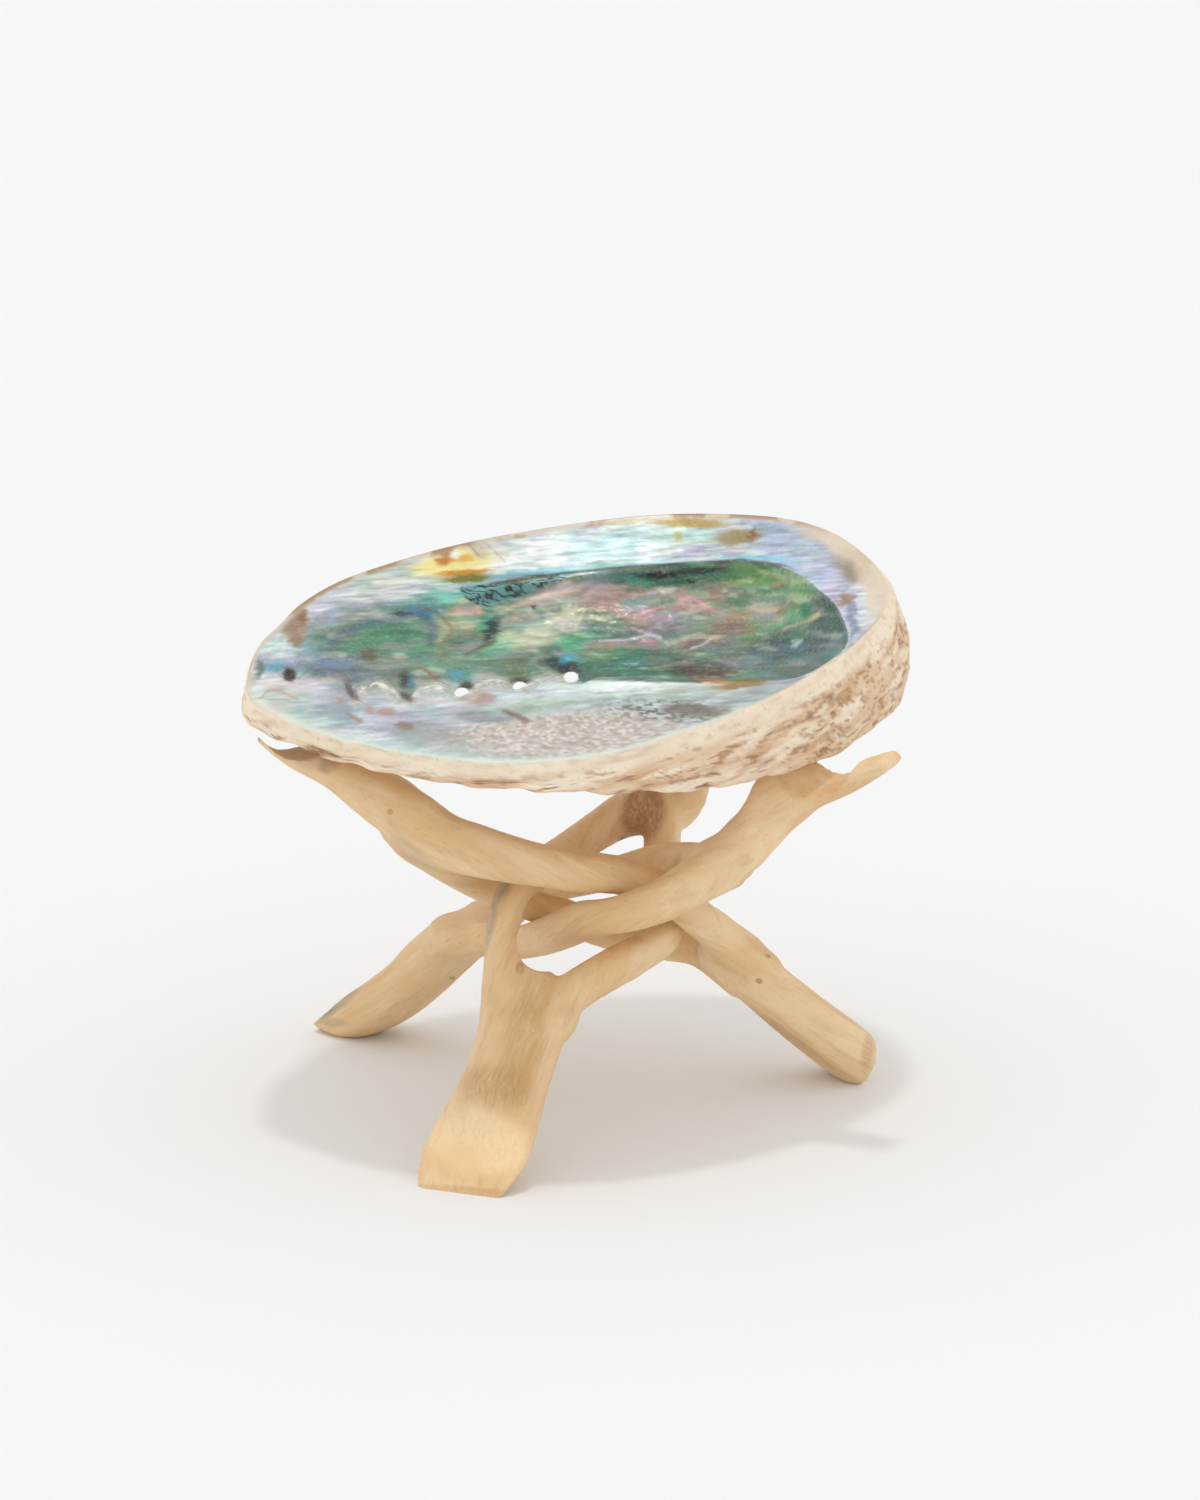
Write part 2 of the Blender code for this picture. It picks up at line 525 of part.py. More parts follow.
def centre_origin(things):
    """Move everything so that the origin is under the middle of the whole object's box."""
    corners = np.array([v.co[:] for thing in things for v in thing.data.vertices])
    low = corners.min(axis=0)
    high = corners.max(axis=0)
    shift = Vector((-(low[0] + high[0]) / 2, -(low[1] + high[1]) / 2, -low[2]))
    for thing in things:
        thing.data.transform(Matrix.Translation(shift))
    return shift


def main():
    clear_scene()
    nacre = make_material("shell_nacre", NACRE, 0.3)
    shell = make_shell(nacre)
    seat = make_seat_cutter(nacre)
    legs = []
    for name in ("leg_front", "leg_left", "leg_right"):
        wood = make_material(name + "_wood", WOOD, 0.6)
        legs.append(make_leg(name, wood, seat))
    bpy.data.objects.remove(seat, do_unlink=True)
    return centre_origin([shell] + legs)


main()
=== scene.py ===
"""Looks of the abalone shell and its three-leg wooden stand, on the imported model's frame."""

from math import radians, cos, sin, pi

import bpy
import bmesh
import numpy as np
from mathutils import Matrix, Vector

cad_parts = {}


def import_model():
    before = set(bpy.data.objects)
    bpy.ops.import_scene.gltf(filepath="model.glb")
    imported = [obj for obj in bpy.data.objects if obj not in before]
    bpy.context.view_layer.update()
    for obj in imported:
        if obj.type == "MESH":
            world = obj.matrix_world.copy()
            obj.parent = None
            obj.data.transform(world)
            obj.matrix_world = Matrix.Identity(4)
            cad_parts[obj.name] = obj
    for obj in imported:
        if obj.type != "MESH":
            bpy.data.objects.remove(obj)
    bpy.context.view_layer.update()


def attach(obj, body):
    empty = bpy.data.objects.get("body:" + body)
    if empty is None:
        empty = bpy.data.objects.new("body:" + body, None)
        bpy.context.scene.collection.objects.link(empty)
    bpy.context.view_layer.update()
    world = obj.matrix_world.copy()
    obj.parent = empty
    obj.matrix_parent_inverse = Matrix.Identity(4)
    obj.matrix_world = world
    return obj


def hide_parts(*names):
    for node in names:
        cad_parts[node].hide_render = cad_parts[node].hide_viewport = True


MM = 0.001
IMAGE_SIZE = (1200, 1500)
LENS = 85.0
SENSOR_WIDTH = 30.0
FOCAL_PIXELS = IMAGE_SIZE[1] * LENS / SENSOR_WIDTH
CAMERA_PITCH = 13.4
CAMERA_PLACE = (8.5, -895.3, 292.1)

# From the frame in which the tables below are written to the part's own origin, in millimetres.
SHIFT = (-4.48, -3.42, 0.0)

# The shell's form, as in the CAD model
SHELL_HALF_LENGTH = 74.0
SHELL_HALF_WIDTH = 60.0
SHELL_CENTRE = (2.4, 4.3, 105.0)
SHELL_YAW = 38.6
SHELL_TILT_LENGTHWISE = 9.3
SHELL_TILT_CROSSWISE = 6.5
BOWL_CENTRE = (24.0, 10.0)
BOWL_DEPTH = 20.0
WALL = 4.2
STEP_SLOPE_WIDTH = 1.4
NARROWEST_BAND = 3.0
SEAT_GAP = 0.3
BOWL_EDGE = [
    (-42.0, 23.0, 7.0, 0.3), (-35.0, 14.0, 8.0, 0.0), (-26.0, 6.5, 8.5, 0.0), (-15.5, 0.0, 9.0, 0.0),
    (-3.5, -4.0, 9.5, 0.0), (8.0, -16.0, 9.0, 0.4), (14.0, -32.0, 7.5, 0.8), (22.0, -48.0, 5.0, 1.0),
    (40.0, -44.0, 4.5, 1.6), (50.0, -31.0, 4.0, 2.2), (57.0, -15.0, 4.0, 2.4), (62.0, 2.0, 5.0, 2.6),
    (57.0, 18.0, 6.5, 2.6), (44.0, 31.0, 8.0, 2.6), (29.0, 41.0, 9.0, 2.4), (5.0, 47.0, 8.5, 2.0),
    (-15.0, 46.0, 7.5, 1.0), (-34.0, 38.0, 6.0, 0.4),
]
BOWL_FLATNESS = [
    (0, 3.4), (60, 3.0), (110, 2.4), (150, 1.9), (185, 1.5), (230, 1.5), (255, 2.2), (280, 3.0),
    (330, 3.6),
]
BAND_BEND = [(0, 1.2), (90, 1.1), (150, 1.2), (200, 1.25), (240, 1.3), (275, 1.6), (300, 1.6)]
LIP_DEPTH = [(0, 3.0), (90, 2.4), (160, 2.4), (195, 2.6), (210, 3.6), (235, 4.0), (280, 3.6), (320, 3.0)]
LIP_WIDTH = [(0, 2.2), (45, 1.8), (90, 1.2), (150, 1.2), (210, 1.6), (260, 2.4), (310, 2.6)]
WALL_FOOT = [
    (0, 19.0), (30, 15.5), (60, 11.5), (100, 8.5), (150, 6.4), (186, 4.4), (204, 4.6), (215, 5.4),
    (222, 6.2), (229, 8.8), (241, 14.0), (251, 16.5), (258, 18.5), (270, 20.8), (300, 22.0), (330, 21.0),
]
WALL_BULGE = [
    (0, 2.4), (60, 1.6), (120, 1.0), (180, 0.6), (222, 0.8), (241, 1.8), (260, 2.6), (280, 3.0),
    (320, 2.8),
]
RIM_SHAPE = [
    (2, 2.2), (10, 2.8), (22, 0.4), (45, -1.4), (59, -1.8), (72, -1.4), (94, -0.4), (108, 1.0),
    (123, 0.6), (132, -0.9), (140, 0.2), (152, 0.0), (166, 1.6), (175, -1.4), (195, -1.8), (206, -0.4),
    (219, 1.7), (232, 2.4), (241, 2.2), (251, 0.9), (274, -0.5), (290, -1.3), (308, -0.9), (319, -0.1),
    (350, 0.2),
]
RIM_RISE = [
    (22, 0.0), (59, -0.6), (94, -0.1), (110, 0.3), (150, 0.0), (195, 0.4), (212, -0.3), (234, -1.1),
    (251, -0.4), (274, 0.2), (290, 0.5), (308, 0.3), (330, 0.0),
]
# Hole row: place in the shell's own axes, and whether the hole is open. The last one has no hump outside.
HOLES = [
    (-3.5, -4.0, True), (-15.5, 0.0, True), (-26.0, 6.5, True), (-35.0, 14.0, False),
    (-42.0, 21.5, False), (-53.5, 30.0, False),
]
# Open holes: place in the picture, and a point inside the wall there in the shell's own axes.
OPEN_HOLES = [
    (462, 693, (-18.0, 17.5, -15.0)), (520, 687, (-1.0, 18.5, -19.0)), (571, 677, (13.0, 18.0, -21.0)),
]
HOLE_HALF_WIDTH = 1.55
HOLE_HALF_HEIGHT = 1.15
HOLE_LENGTH = 26.0
SPIRE = (-53.0, 12.0)

# Fine mesh of the shell
SPOKES = 560
BOWL_RINGS = 66
STEP_RINGS = 3
BAND_RINGS = 44
UNDER_RINGS = 20
WALL_RINGS = 30

# The stand's form, as in the CAD model
LEG_FOOT = {"leg_front": (-19.3, -63.6), "leg_left": (-45.3, 48.5), "leg_right": (64.6, 15.2)}
LEG_HEAD = {"leg_front": (22.0, 46.0), "leg_left": (48.0, -25.0), "leg_right": (-47.5, -26.0)}
FOOT_STATION = 66.5
FOOT = {
    "leg_front": [
        (-74, 1.0, 1.0, 10.6, 6.0), (-67, 0.9, 4.4, 11.0, 6.2), (-60, -0.4, 8.2, 11.2, 6.5),
        (-52, -1.2, 14.2, 9.9, 6.2), (-44, -1.3, 20.6, 9.1, 5.8), (-37, -0.7, 25.8, 9.4, 5.5),
        (-31, -1, 30.2, 10.0, 5.2),
    ],
    "leg_left": [
        (-79, -4, 3.6, 4.6, 2.6), (-71, -1, 3.9, 8.4, 5.2), (-61, 0, 8.4, 9.2, 6.0),
        (-52, 0, 15.4, 8.8, 5.9), (-45, -0.5, 21.8, 8.6, 6.0), (-37, -1.5, 28.4, 9.0, 5.6),
        (-31, -3, 31.6, 9.4, 5.2),
    ],
    "leg_right": [
        (-73, 0, 1.4, 8.6, 5.6), (-69, 0, 3.6, 8.8, 6.0), (-63, 0, 8.0, 9.2, 6.3),
        (-56, 0, 14.0, 9.0, 6.2), (-48, 0, 21, 8.6, 6.0), (-42, 0, 26.7, 8.8, 5.9),
        (-38, 0, 30.4, 9.2, 5.8),
    ],
}
LEFT_STRAND = {
    "leg_front": [
        (-26, 8, 39, 3.8, 4.4), (-20, 9.6, 46, 3.5, 4.2), (-13, 9.8, 50.2, 3.5, 4.0),
        (0, 9, 52, 3.6, 4.0), (12, 8, 52.6, 3.8, 4.0), (24, 4.5, 55.2, 4.0, 4.2), (31, 1, 57.2, 4.6, 5.0),
    ],
    "leg_left": [
        (-26, 5, 36.6, 3.8, 4.0), (-18, 8, 41.4, 3.6, 3.8), (-8, 9, 44.8, 3.6, 3.7),
        (3, 8.4, 48.8, 3.6, 3.8), (13, 8, 52.5, 3.8, 3.9), (23, 5, 54.6, 4.2, 4.4), (31, 0, 56, 4.8, 4.8),
    ],
    "leg_right": [
        (-33, 4.6, 37.2, 4.0, 4.6), (-27, 7.2, 42.4, 3.7, 4.2), (-19, 8.8, 49, 3.6, 4.2),
        (-9, 9, 54, 3.7, 4.2), (3, 9, 56.4, 3.8, 4.4), (15, 9, 59.6, 4.0, 5.0), (25, 8.4, 62.8, 4.4, 5.6),
        (32, 6, 65.5, 5.0, 6.0),
    ],
}
RIGHT_STRAND = {
    "leg_front": [
        (-27, -7.5, 32, 4.2, 4.4), (-17, -11.5, 34.6, 4.0, 4.2), (-7, -15.5, 36.4, 3.9, 4.0),
        (3, -18.2, 38.2, 3.7, 3.7), (11, -16.6, 40.4, 3.7, 3.6), (18, -13.0, 42.8, 3.8, 3.5),
        (25, -10, 49.6, 4.2, 4.2), (31, -8, 56.2, 4.4, 4.8),
    ],
    "leg_left": [
        (-24, -7, 32.0, 4.2, 4.0), (-12, -11, 33.8, 4.0, 3.8), (0, -15, 38.6, 4.0, 4.2),
        (10, -17.4, 43.6, 4.0, 4.4), (17, -18, 46, 3.9, 4.0), (24, -17.6, 48.4, 4.0, 4.3),
        (32, -14.5, 52.4, 4.4, 4.8), (38, -9.5, 57, 4.8, 5.2),
    ],
    "leg_right": [
        (-33, -5.8, 31.6, 4.2, 4.4), (-26, -10.6, 32.4, 4.0, 4.0), (-14, -14.5, 35.0, 4.0, 3.9),
        (-4, -16.5, 39.2, 3.8, 3.8), (8, -16.5, 44.6, 3.7, 3.7), (18, -13, 50.5, 3.8, 4.0),
        (27, -7.5, 57.5, 4.2, 4.6), (34, -2, 63.5, 4.8, 5.2),
    ],
}
HEAD = {
    "leg_front": [
        (37, -7, 60, 8.2, 5.6), (43, -6, 69, 7.8, 5.4), (48, -4, 77.5, 7.4, 5.4), (54, -2, 84, 6.8, 5.0),
        (61, -1, 88, 6.2, 4.8), (69, 0, 92, 5.4, 3.4), (75, 0, 96, 4.2, 2.0),
    ],
    "leg_left": [
        (40, -4.5, 59.8, 8.0, 5.4), (45, -2, 65.6, 7.8, 5.4), (49, 0, 71.4, 7.4, 6.0),
        (53.5, 0, 76.4, 7.0, 6.4), (59, 0, 79.0, 6.4, 5.6), (65, 1.5, 80.6, 5.6, 4.2),
        (71, 2.5, 82.8, 4.8, 2.6), (77, 3, 86.2, 4.2, 1.6),
    ],
    "leg_right": [
        (38, 3.5, 70.2, 7.8, 6.0), (44, 2, 75, 7.6, 5.6), (49, 0.5, 78.4, 7.2, 4.8),
        (54, 0, 81.4, 6.8, 4.0), (61, 0, 84.8, 6.0, 3.2), (68.5, 0, 89.4, 4.6, 1.6),
    ],
}
# The carved scoop behind the peak of a head: its middle along the leg, height, radius, and how much
# its axis climbs towards the leg's left.
SCOOP = {
    "leg_front": (64.0, 99.6, 10.0, 0.0), "leg_left": (61.5, 88.3, 9.6, 0.3),
    "leg_right": (61.5, 93.4, 8.6, 0.0),
}
# The worn end face of a toe: two points of it, each a place along the leg and a height.
TOE = {
    "leg_front": ((-67.0, 0.0), (-57.0, 15.0)), "leg_left": ((-77.5, 1.2), (-69.0, 8.6)),
    "leg_right": ((-66.5, 0.0), (-71.2, 10.5)),
}
TOE_BLOCK = 60.0
# The round bottom of a leg's eye: place in the picture, half sizes in millimetres, and a point of
# the leg there.
EYE_BOTTOM = {"leg_front": (543.5, 947.0, 5.6, 5.2, (-27.0, 2.0, 35.0))}
EYE_BAR_LENGTH = 36.0

# How much farther than the seat gap the legs stay from the shell, because its crust has relief.
CRUST_ALLOWANCE = 0.2
SEAT_SPOKES = 240
WOOD_RISE = 32.0
WOOD_SEED = {"leg_front": 11, "leg_left": 23, "leg_right": 37}

# Marks of the wood, in the picture: ellipse, colour, softness, strength. On leg_front's foot some are
# painted light and shade, marked where they stand.
WOOD_MARKS = {
    "leg_front": [
        ((643, 812, 22, 30, 8), (170, 126, 90), 0.25, 0.85),
        ((624, 842, 6, 6, -40), (140, 92, 66), 0.4, 0.8),
        ((488, 925, 6, 42, 14), (158, 152, 142), 0.5, 0.65),
        ((503, 886, 7, 14, 10), (142, 136, 126), 0.6, 0.6),
        # Painted shade: a darker strip down the middle of the leg above the toe.
        ((524, 1040, 20, 70, 8), (206, 164, 112), 0.6, 0.7),
        # Painted shade: a darker field above the toe, where the shell's shadow falls.
        ((497, 1085, 34, 20, 0), (192, 148, 98), 0.5, 0.7),
        # Painted highlight: the lit end face of the toe.
        ((478, 1143, 50, 32, 6), (252, 222, 176), 0.25, 0.8),
        ((455, 1165, 26, 20, 0), (228, 188, 134), 0.6, 0.5),
        # Painted shade: a darker band along the toe's bottom edge at the floor.
        ((475, 1192, 56, 5, 5), (206, 164, 114), 0.4, 0.7),
        ((520, 968, 4, 6, 0), (170, 124, 82), 0.5, 0.7),
    ],
    "leg_left": [
        ((340, 1000, 26, 7, -42), (150, 142, 130), 0.5, 0.7),
        ((330, 1022, 18, 4, 6), (170, 150, 126), 0.5, 0.5),
        ((326, 1008, 10, 8, -40), (128, 122, 112), 0.5, 0.6),
        ((850, 790, 44, 8, -14), (214, 170, 118), 0.5, 0.6),
        ((452, 978, 3, 2, 0), (150, 108, 76), 0.4, 0.6),
        ((700, 900, 60, 5, -14), (240, 216, 178), 0.6, 0.5),
        ((890, 764, 8, 8, 0), (246, 226, 192), 0.5, 0.5),
    ],
    "leg_right": [
        ((759, 981, 3.5, 2.5, 20), (126, 74, 48), 0.4, 0.8),
        ((306, 757, 30, 11, 16), (208, 182, 150), 0.4, 0.8),
        ((330, 764, 12, 8, -30), (178, 146, 112), 0.4, 0.7),
        ((868, 1052, 6, 18, 10), (190, 152, 112), 0.5, 0.6),
        ((800, 1045, 60, 5, 34), (196, 152, 106), 0.6, 0.6),
        ((768, 956, 3, 2, 30), (150, 108, 76), 0.4, 0.6), ((390, 812, 3, 3, 0), (176, 132, 92), 0.4, 0.6),
        ((410, 850, 8, 26, -50), (190, 168, 140), 0.6, 0.5),
    ],
}
FLOOR_TONE = (0.855, 0.862, 0.868)
FLOOR_TONE_LIGHT = (0.865, 0.872, 0.878)
WORLD_STRENGTH = 0.925
SUN_STRENGTH = 0.5
SUN_ANGLE = 4.0
SUN_COLOUR = (1.0, 0.97, 0.93)
SUN_DIRECTION = (0.02, 0.05, -1.0)
FLOOR_HALF_SIZE = 9.0

# Meshing of the legs
LEG_VOXEL = 0.75
SMOOTH_ROUNDS = 2
SPAN_STEPS = 6
TUBE_SIDES = 32
TUBE_SQUARENESS = 2.6
SCOOP_LENGTH = 40.0
FLOOR_BLOCK = 0.4
SHARP_ANGLE = 50.0

# Tones of the wood and the nacre's shader, and how rough and metallic each surface is
WOOD_PALE = (240, 211, 168)
WOOD_WARM = (230, 194, 144)
WOOD_STREAK = (208, 166, 116)
WOOD_FINE = (184, 140, 96)
WOOD_LIGHT = (246, 224, 186)
WOOD_ROUGHNESS = 0.62
NACRE_BLOOM = (0.9, 0.92, 0.86)
NACRE_DULL = (0.55, 0.62, 0.6)
NACRE_METALLIC = 0.25
NACRE_COAT = 0.15
NACRE_COAT_ROUGHNESS = 0.12
CRUST_ROUGHNESS = 0.85
FLOOR_ROUGHNESS = 0.9
FLOOR_SPECULAR = 0.1

# Tones of the crust
CRUST_CREAM = (238, 214, 184)
CRUST_PALE = (248, 232, 206)
CRUST_PEACH = (226, 190, 152)
CRUST_STAIN = (206, 162, 124)
CRUST_SPECK = (160, 116, 84)
CRUST_PIT = (146, 104, 76)
CRUST_LIP = (246, 232, 208)
CRUST_GRAIN = (176, 130, 92)
CRUST_LIGHT = (246, 232, 214)
HOLE_WALL = (176, 160, 134)


# Small tools
def srgb(r, g, b):
    """A colour as seen on screen, 0 to 255, as the linear values that a shader takes."""
    values = []
    for c in (r / 255.0, g / 255.0, b / 255.0):
        values.append(c / 12.92 if c <= 0.04045 else ((c + 0.055) / 1.055) ** 2.4)
    return tuple(values)


def around(table, directions, blur=9):
    """Value of a table of (degrees, value) at each direction, smooth and periodic."""
    angles = np.array([row[0] for row in table], float)
    values = np.array([row[1] for row in table], float)
    fine = np.arange(0.0, 360.0, 0.5)
    line = np.interp(fine, angles, values, period=360.0)
    half = int(blur / 0.5)
    window = np.hanning(2 * half + 3)[1:-1]
    window /= window.sum()
    padded = np.concatenate([line[-half:], line, line[:half]])
    soft = np.convolve(padded, window, mode="valid")
    return np.interp(directions, fine, soft, period=360.0)


def noise(x, y, seed):
    """Smooth value noise from 0 to 1 at the points x, y."""
    table = np.random.RandomState(seed).rand(128, 128)
    xi = np.floor(x).astype(int)
    yi = np.floor(y).astype(int)
    fx = x - xi
    fy = y - yi
    fx = fx * fx * (3.0 - 2.0 * fx)
    fy = fy * fy * (3.0 - 2.0 * fy)
    a = table[xi % 128, yi % 128]
    b = table[(xi + 1) % 128, yi % 128]
    c = table[xi % 128, (yi + 1) % 128]
    d = table[(xi + 1) % 128, (yi + 1) % 128]
    return (a * (1 - fx) + b * fx) * (1 - fy) + (c * (1 - fx) + d * fx) * fy


def fractal(x, y, seed, octaves=4):
    """Sum of noises, each twice as fine and half as strong as the last, from 0 to 1."""
    total = np.zeros_like(x)
    weight = 0.0
    for k in range(octaves):
        share = 0.5 ** k
        total += share * noise(x * 2.0 ** k + 17.0 * k, y * 2.0 ** k - 9.0 * k, seed + k)
        weight += share
    return total / weight


def smooth_step(low, high, x):
    t = np.clip((x - low) / (high - low), 0.0, 1.0)
    return t * t * (3.0 - 2.0 * t)


# Camera
def camera_frame():
    place = (Vector(CAMERA_PLACE) + Vector(SHIFT)) * MM
    pitch = radians(CAMERA_PITCH)
    forward = Vector((0.0, cos(pitch), -sin(pitch)))
    up = Vector((0.0, sin(pitch), cos(pitch)))
    return place, forward, up


def photo_pixels(points):
    """Where points in the part's frame, in metres, fall in the 1200 x 1500 picture."""
    place, forward, up = camera_frame()
    rel = points - np.array(place[:])
    depth = rel @ np.array(forward[:])
    x = IMAGE_SIZE[0] / 2 + FOCAL_PIXELS * rel[:, 0] / depth
    y = IMAGE_SIZE[1] / 2 - FOCAL_PIXELS * (rel @ np.array(up[:])) / depth
    return x, y


def make_camera():
    place, _, _ = camera_frame()
    data = bpy.data.cameras.new("camera")
    data.sensor_width = SENSOR_WIDTH
    data.lens = LENS
    data.clip_start = 0.05
    camera = bpy.data.objects.new("camera", data)
    camera.location = place
    camera.rotation_euler = (radians(90.0 - CAMERA_PITCH), 0.0, 0.0)
    bpy.context.scene.collection.objects.link(camera)
    bpy.context.scene.camera = camera


# Form of the shell
def rim_radius(directions):
    a = SHELL_HALF_LENGTH
    b = SHELL_HALF_WIDTH
    cx, cy = BOWL_CENTRE
    dx = np.cos(np.radians(directions))
    dy = np.sin(np.radians(directions))
    qa = dx * dx / a ** 2 + dy * dy / b ** 2
    qb = cx * dx / a ** 2 + cy * dy / b ** 2
    qc = cx * cx / a ** 2 + cy * cy / b ** 2 - 1.0
    radius = (-qb + np.sqrt(qb * qb - qa * qc)) / qa
    polar = np.degrees(np.arctan2(cy + radius * dy, cx + radius * dx))
    return radius + around(RIM_SHAPE, polar, 6)


def rim_rise(directions):
    rim = rim_radius(directions)
    polar = np.degrees(np.arctan2(BOWL_CENTRE[1] + rim * np.sin(np.radians(directions)),
                                  BOWL_CENTRE[0] + rim * np.cos(np.radians(directions))))
    return around(RIM_RISE, polar, 12)


def bowl_edge(directions):
    cx, cy = BOWL_CENTRE
    rows = []
    for u, v, depth, step in BOWL_EDGE:
        angle = np.degrees(np.arctan2(v - cy, u - cx)) % 360.0
        rows.append((angle, np.hypot(u - cx, v - cy), depth, step))
    rows.sort()
    radius = around([(r[0], r[1]) for r in rows], directions, 7)
    depth = around([(r[0], r[2]) for r in rows], directions)
    step = around([(r[0], r[3]) for r in rows], directions)
    return radius, depth, step


def row_relief(u, v):
    """Extra depth along the hole row: a funnel at each hole and a rope-like ridge beyond it."""
    extra = np.zeros_like(u)
    for hu, hv, is_open in HOLES:
        along = (u - hu) * 0.78 - (v - hv) * 0.62
        across = (u - hu) * 0.62 + (v - hv) * 0.78
        size = 2.6 if is_open else 2.2
        extra += size * np.exp(-(along / 3.6) ** 2 - ((across - 1.5) / 3.4) ** 2)
        extra -= 1.5 * np.exp(-((along + 5.0) / 3.0) ** 2 - ((across - 4.0) / 3.2) ** 2)
        rope = np.exp(-((along + 5.0) / 4.5) ** 2 - ((across - 3.0) / 3.0) ** 2)
        extra += 0.16 * rope * np.sin(across * 3.4 + along * 0.8)
    return extra


def rounded_power(t, power, soft=0.3):
    """A power curve from 0 to 1 whose start is rounded, so that the middle of the bowl has no point."""
    start = soft ** power
    return ((t * t + soft * soft) ** (power / 2) - start) / ((1 + soft * soft) ** (power / 2) - start)


def blend_to_mean(depth, t):
    """Depths of a ring, more and more alike as the ring shrinks to the middle."""
    share = max(0.0, 1.0 - t) ** 1.6
    return depth * (1.0 - share) + depth.mean() * share


def plain_depth(radius, directions):
    """Depth of the inside without its step and its relief."""
    rim = rim_radius(directions)
    edge, edge_depth, _ = bowl_edge(directions)
    edge = np.minimum(edge, rim - NARROWEST_BAND)
    t = np.clip(radius / edge, 0.0, 1.0)
    b = np.clip((radius - edge) / (rim - edge), 0.0, 1.0)
    fall = 1.0 - rounded_power(t, around(BOWL_FLATNESS, directions, 24))
    bowl = edge_depth + (BOWL_DEPTH - edge_depth) * fall
    band = edge_depth * (1.0 - b ** around(BAND_BEND, directions))
    return np.where(radius < edge, bowl, band)


def shell_matrix():
    """From the shell's own u, v, w axes, in metres, to the part's frame."""
    yaw = radians(SHELL_YAW)
    u = Vector((cos(yaw), sin(yaw), 0.0))
    v = Vector((-sin(yaw), cos(yaw), 0.0))
    w = Vector((0.0, 0.0, 1.0))
    a = radians(SHELL_TILT_LENGTHWISE)
    u, w = u * cos(a) + w * sin(a), w * cos(a) - u * sin(a)
    b = radians(SHELL_TILT_CROSSWISE)
    v, w = v * cos(b) + w * sin(b), w * cos(b) - v * sin(b)
    turn = Matrix((u, v, w)).transposed().to_4x4()
    return Matrix.Translation((Vector(SHELL_CENTRE) + Vector(SHIFT)) * MM) @ turn


def to_world(u, v, depth):
    local = np.stack([u * MM, v * MM, -depth * MM], axis=1)
    matrix = np.array(shell_matrix())
    return local @ matrix[:3, :3].T + matrix[:3, 3]


def inside_rings(directions):
    """Rings of the inside: u, v, depth, share of the way to the bowl edge, share of the band."""
    rim = rim_radius(directions)
    edge, edge_depth, step = bowl_edge(directions)
    edge = np.minimum(edge, rim - NARROWEST_BAND)
    flatness = around(BOWL_FLATNESS, directions, 24)
    bend = around(BAND_BEND, directions)
    top = edge_depth + step
    rings = []
    for i in range(1, BOWL_RINGS + 1):
        t = i / BOWL_RINGS
        depth = top + (BOWL_DEPTH - top) * (1.0 - rounded_power(t, flatness))
        rings.append(((edge - STEP_SLOPE_WIDTH) * t, blend_to_mean(depth, t), t, -1.0))
    for i in range(1, STEP_RINGS + 1):
        left = 1.0 - i / (STEP_RINGS + 1)
        rings.append((edge - STEP_SLOPE_WIDTH * left, edge_depth + step * left ** 0.8, 1.0, -0.5))
    for i in range(BAND_RINGS + 1):
        b = i / BAND_RINGS
        rings.append((edge + (rim - edge) * b, edge_depth * (1.0 - b ** bend), 1.0, b))
    result = []
    for radius, depth, t, b in rings:
        u = BOWL_CENTRE[0] + radius * np.cos(np.radians(directions))
        v = BOWL_CENTRE[1] + radius * np.sin(np.radians(directions))
        fade = np.clip((rim - radius) / 10.0, 0.0, 1.0)
        rise = rim_rise(directions) * (radius / rim) ** 3
        depth = depth + row_relief(u, v) * fade - rise
        result.append((u, v, depth, np.full_like(u, t), np.full_like(u, b)))
    return result


def worn_layers(u, v, directions, depth):
    """Layers of the outside that run round the spire, and broad lumps."""
    du = u - SPIRE[0]
    dv = v - SPIRE[1]
    reach = np.hypot(du, dv * 1.15) + depth * 0.5
    ridges = 0.55 * np.sin(reach * 0.62 + 0.9 * np.sin(np.radians(directions) * 3.0))
    lumps = 0.45 * np.sin(u * 0.33 + 1.3) * np.sin(v * 0.29 - 0.7)
    lumps = lumps + 0.3 * np.sin(u * 0.71 - v * 0.57 + depth * 0.4)
    return ridges + lumps


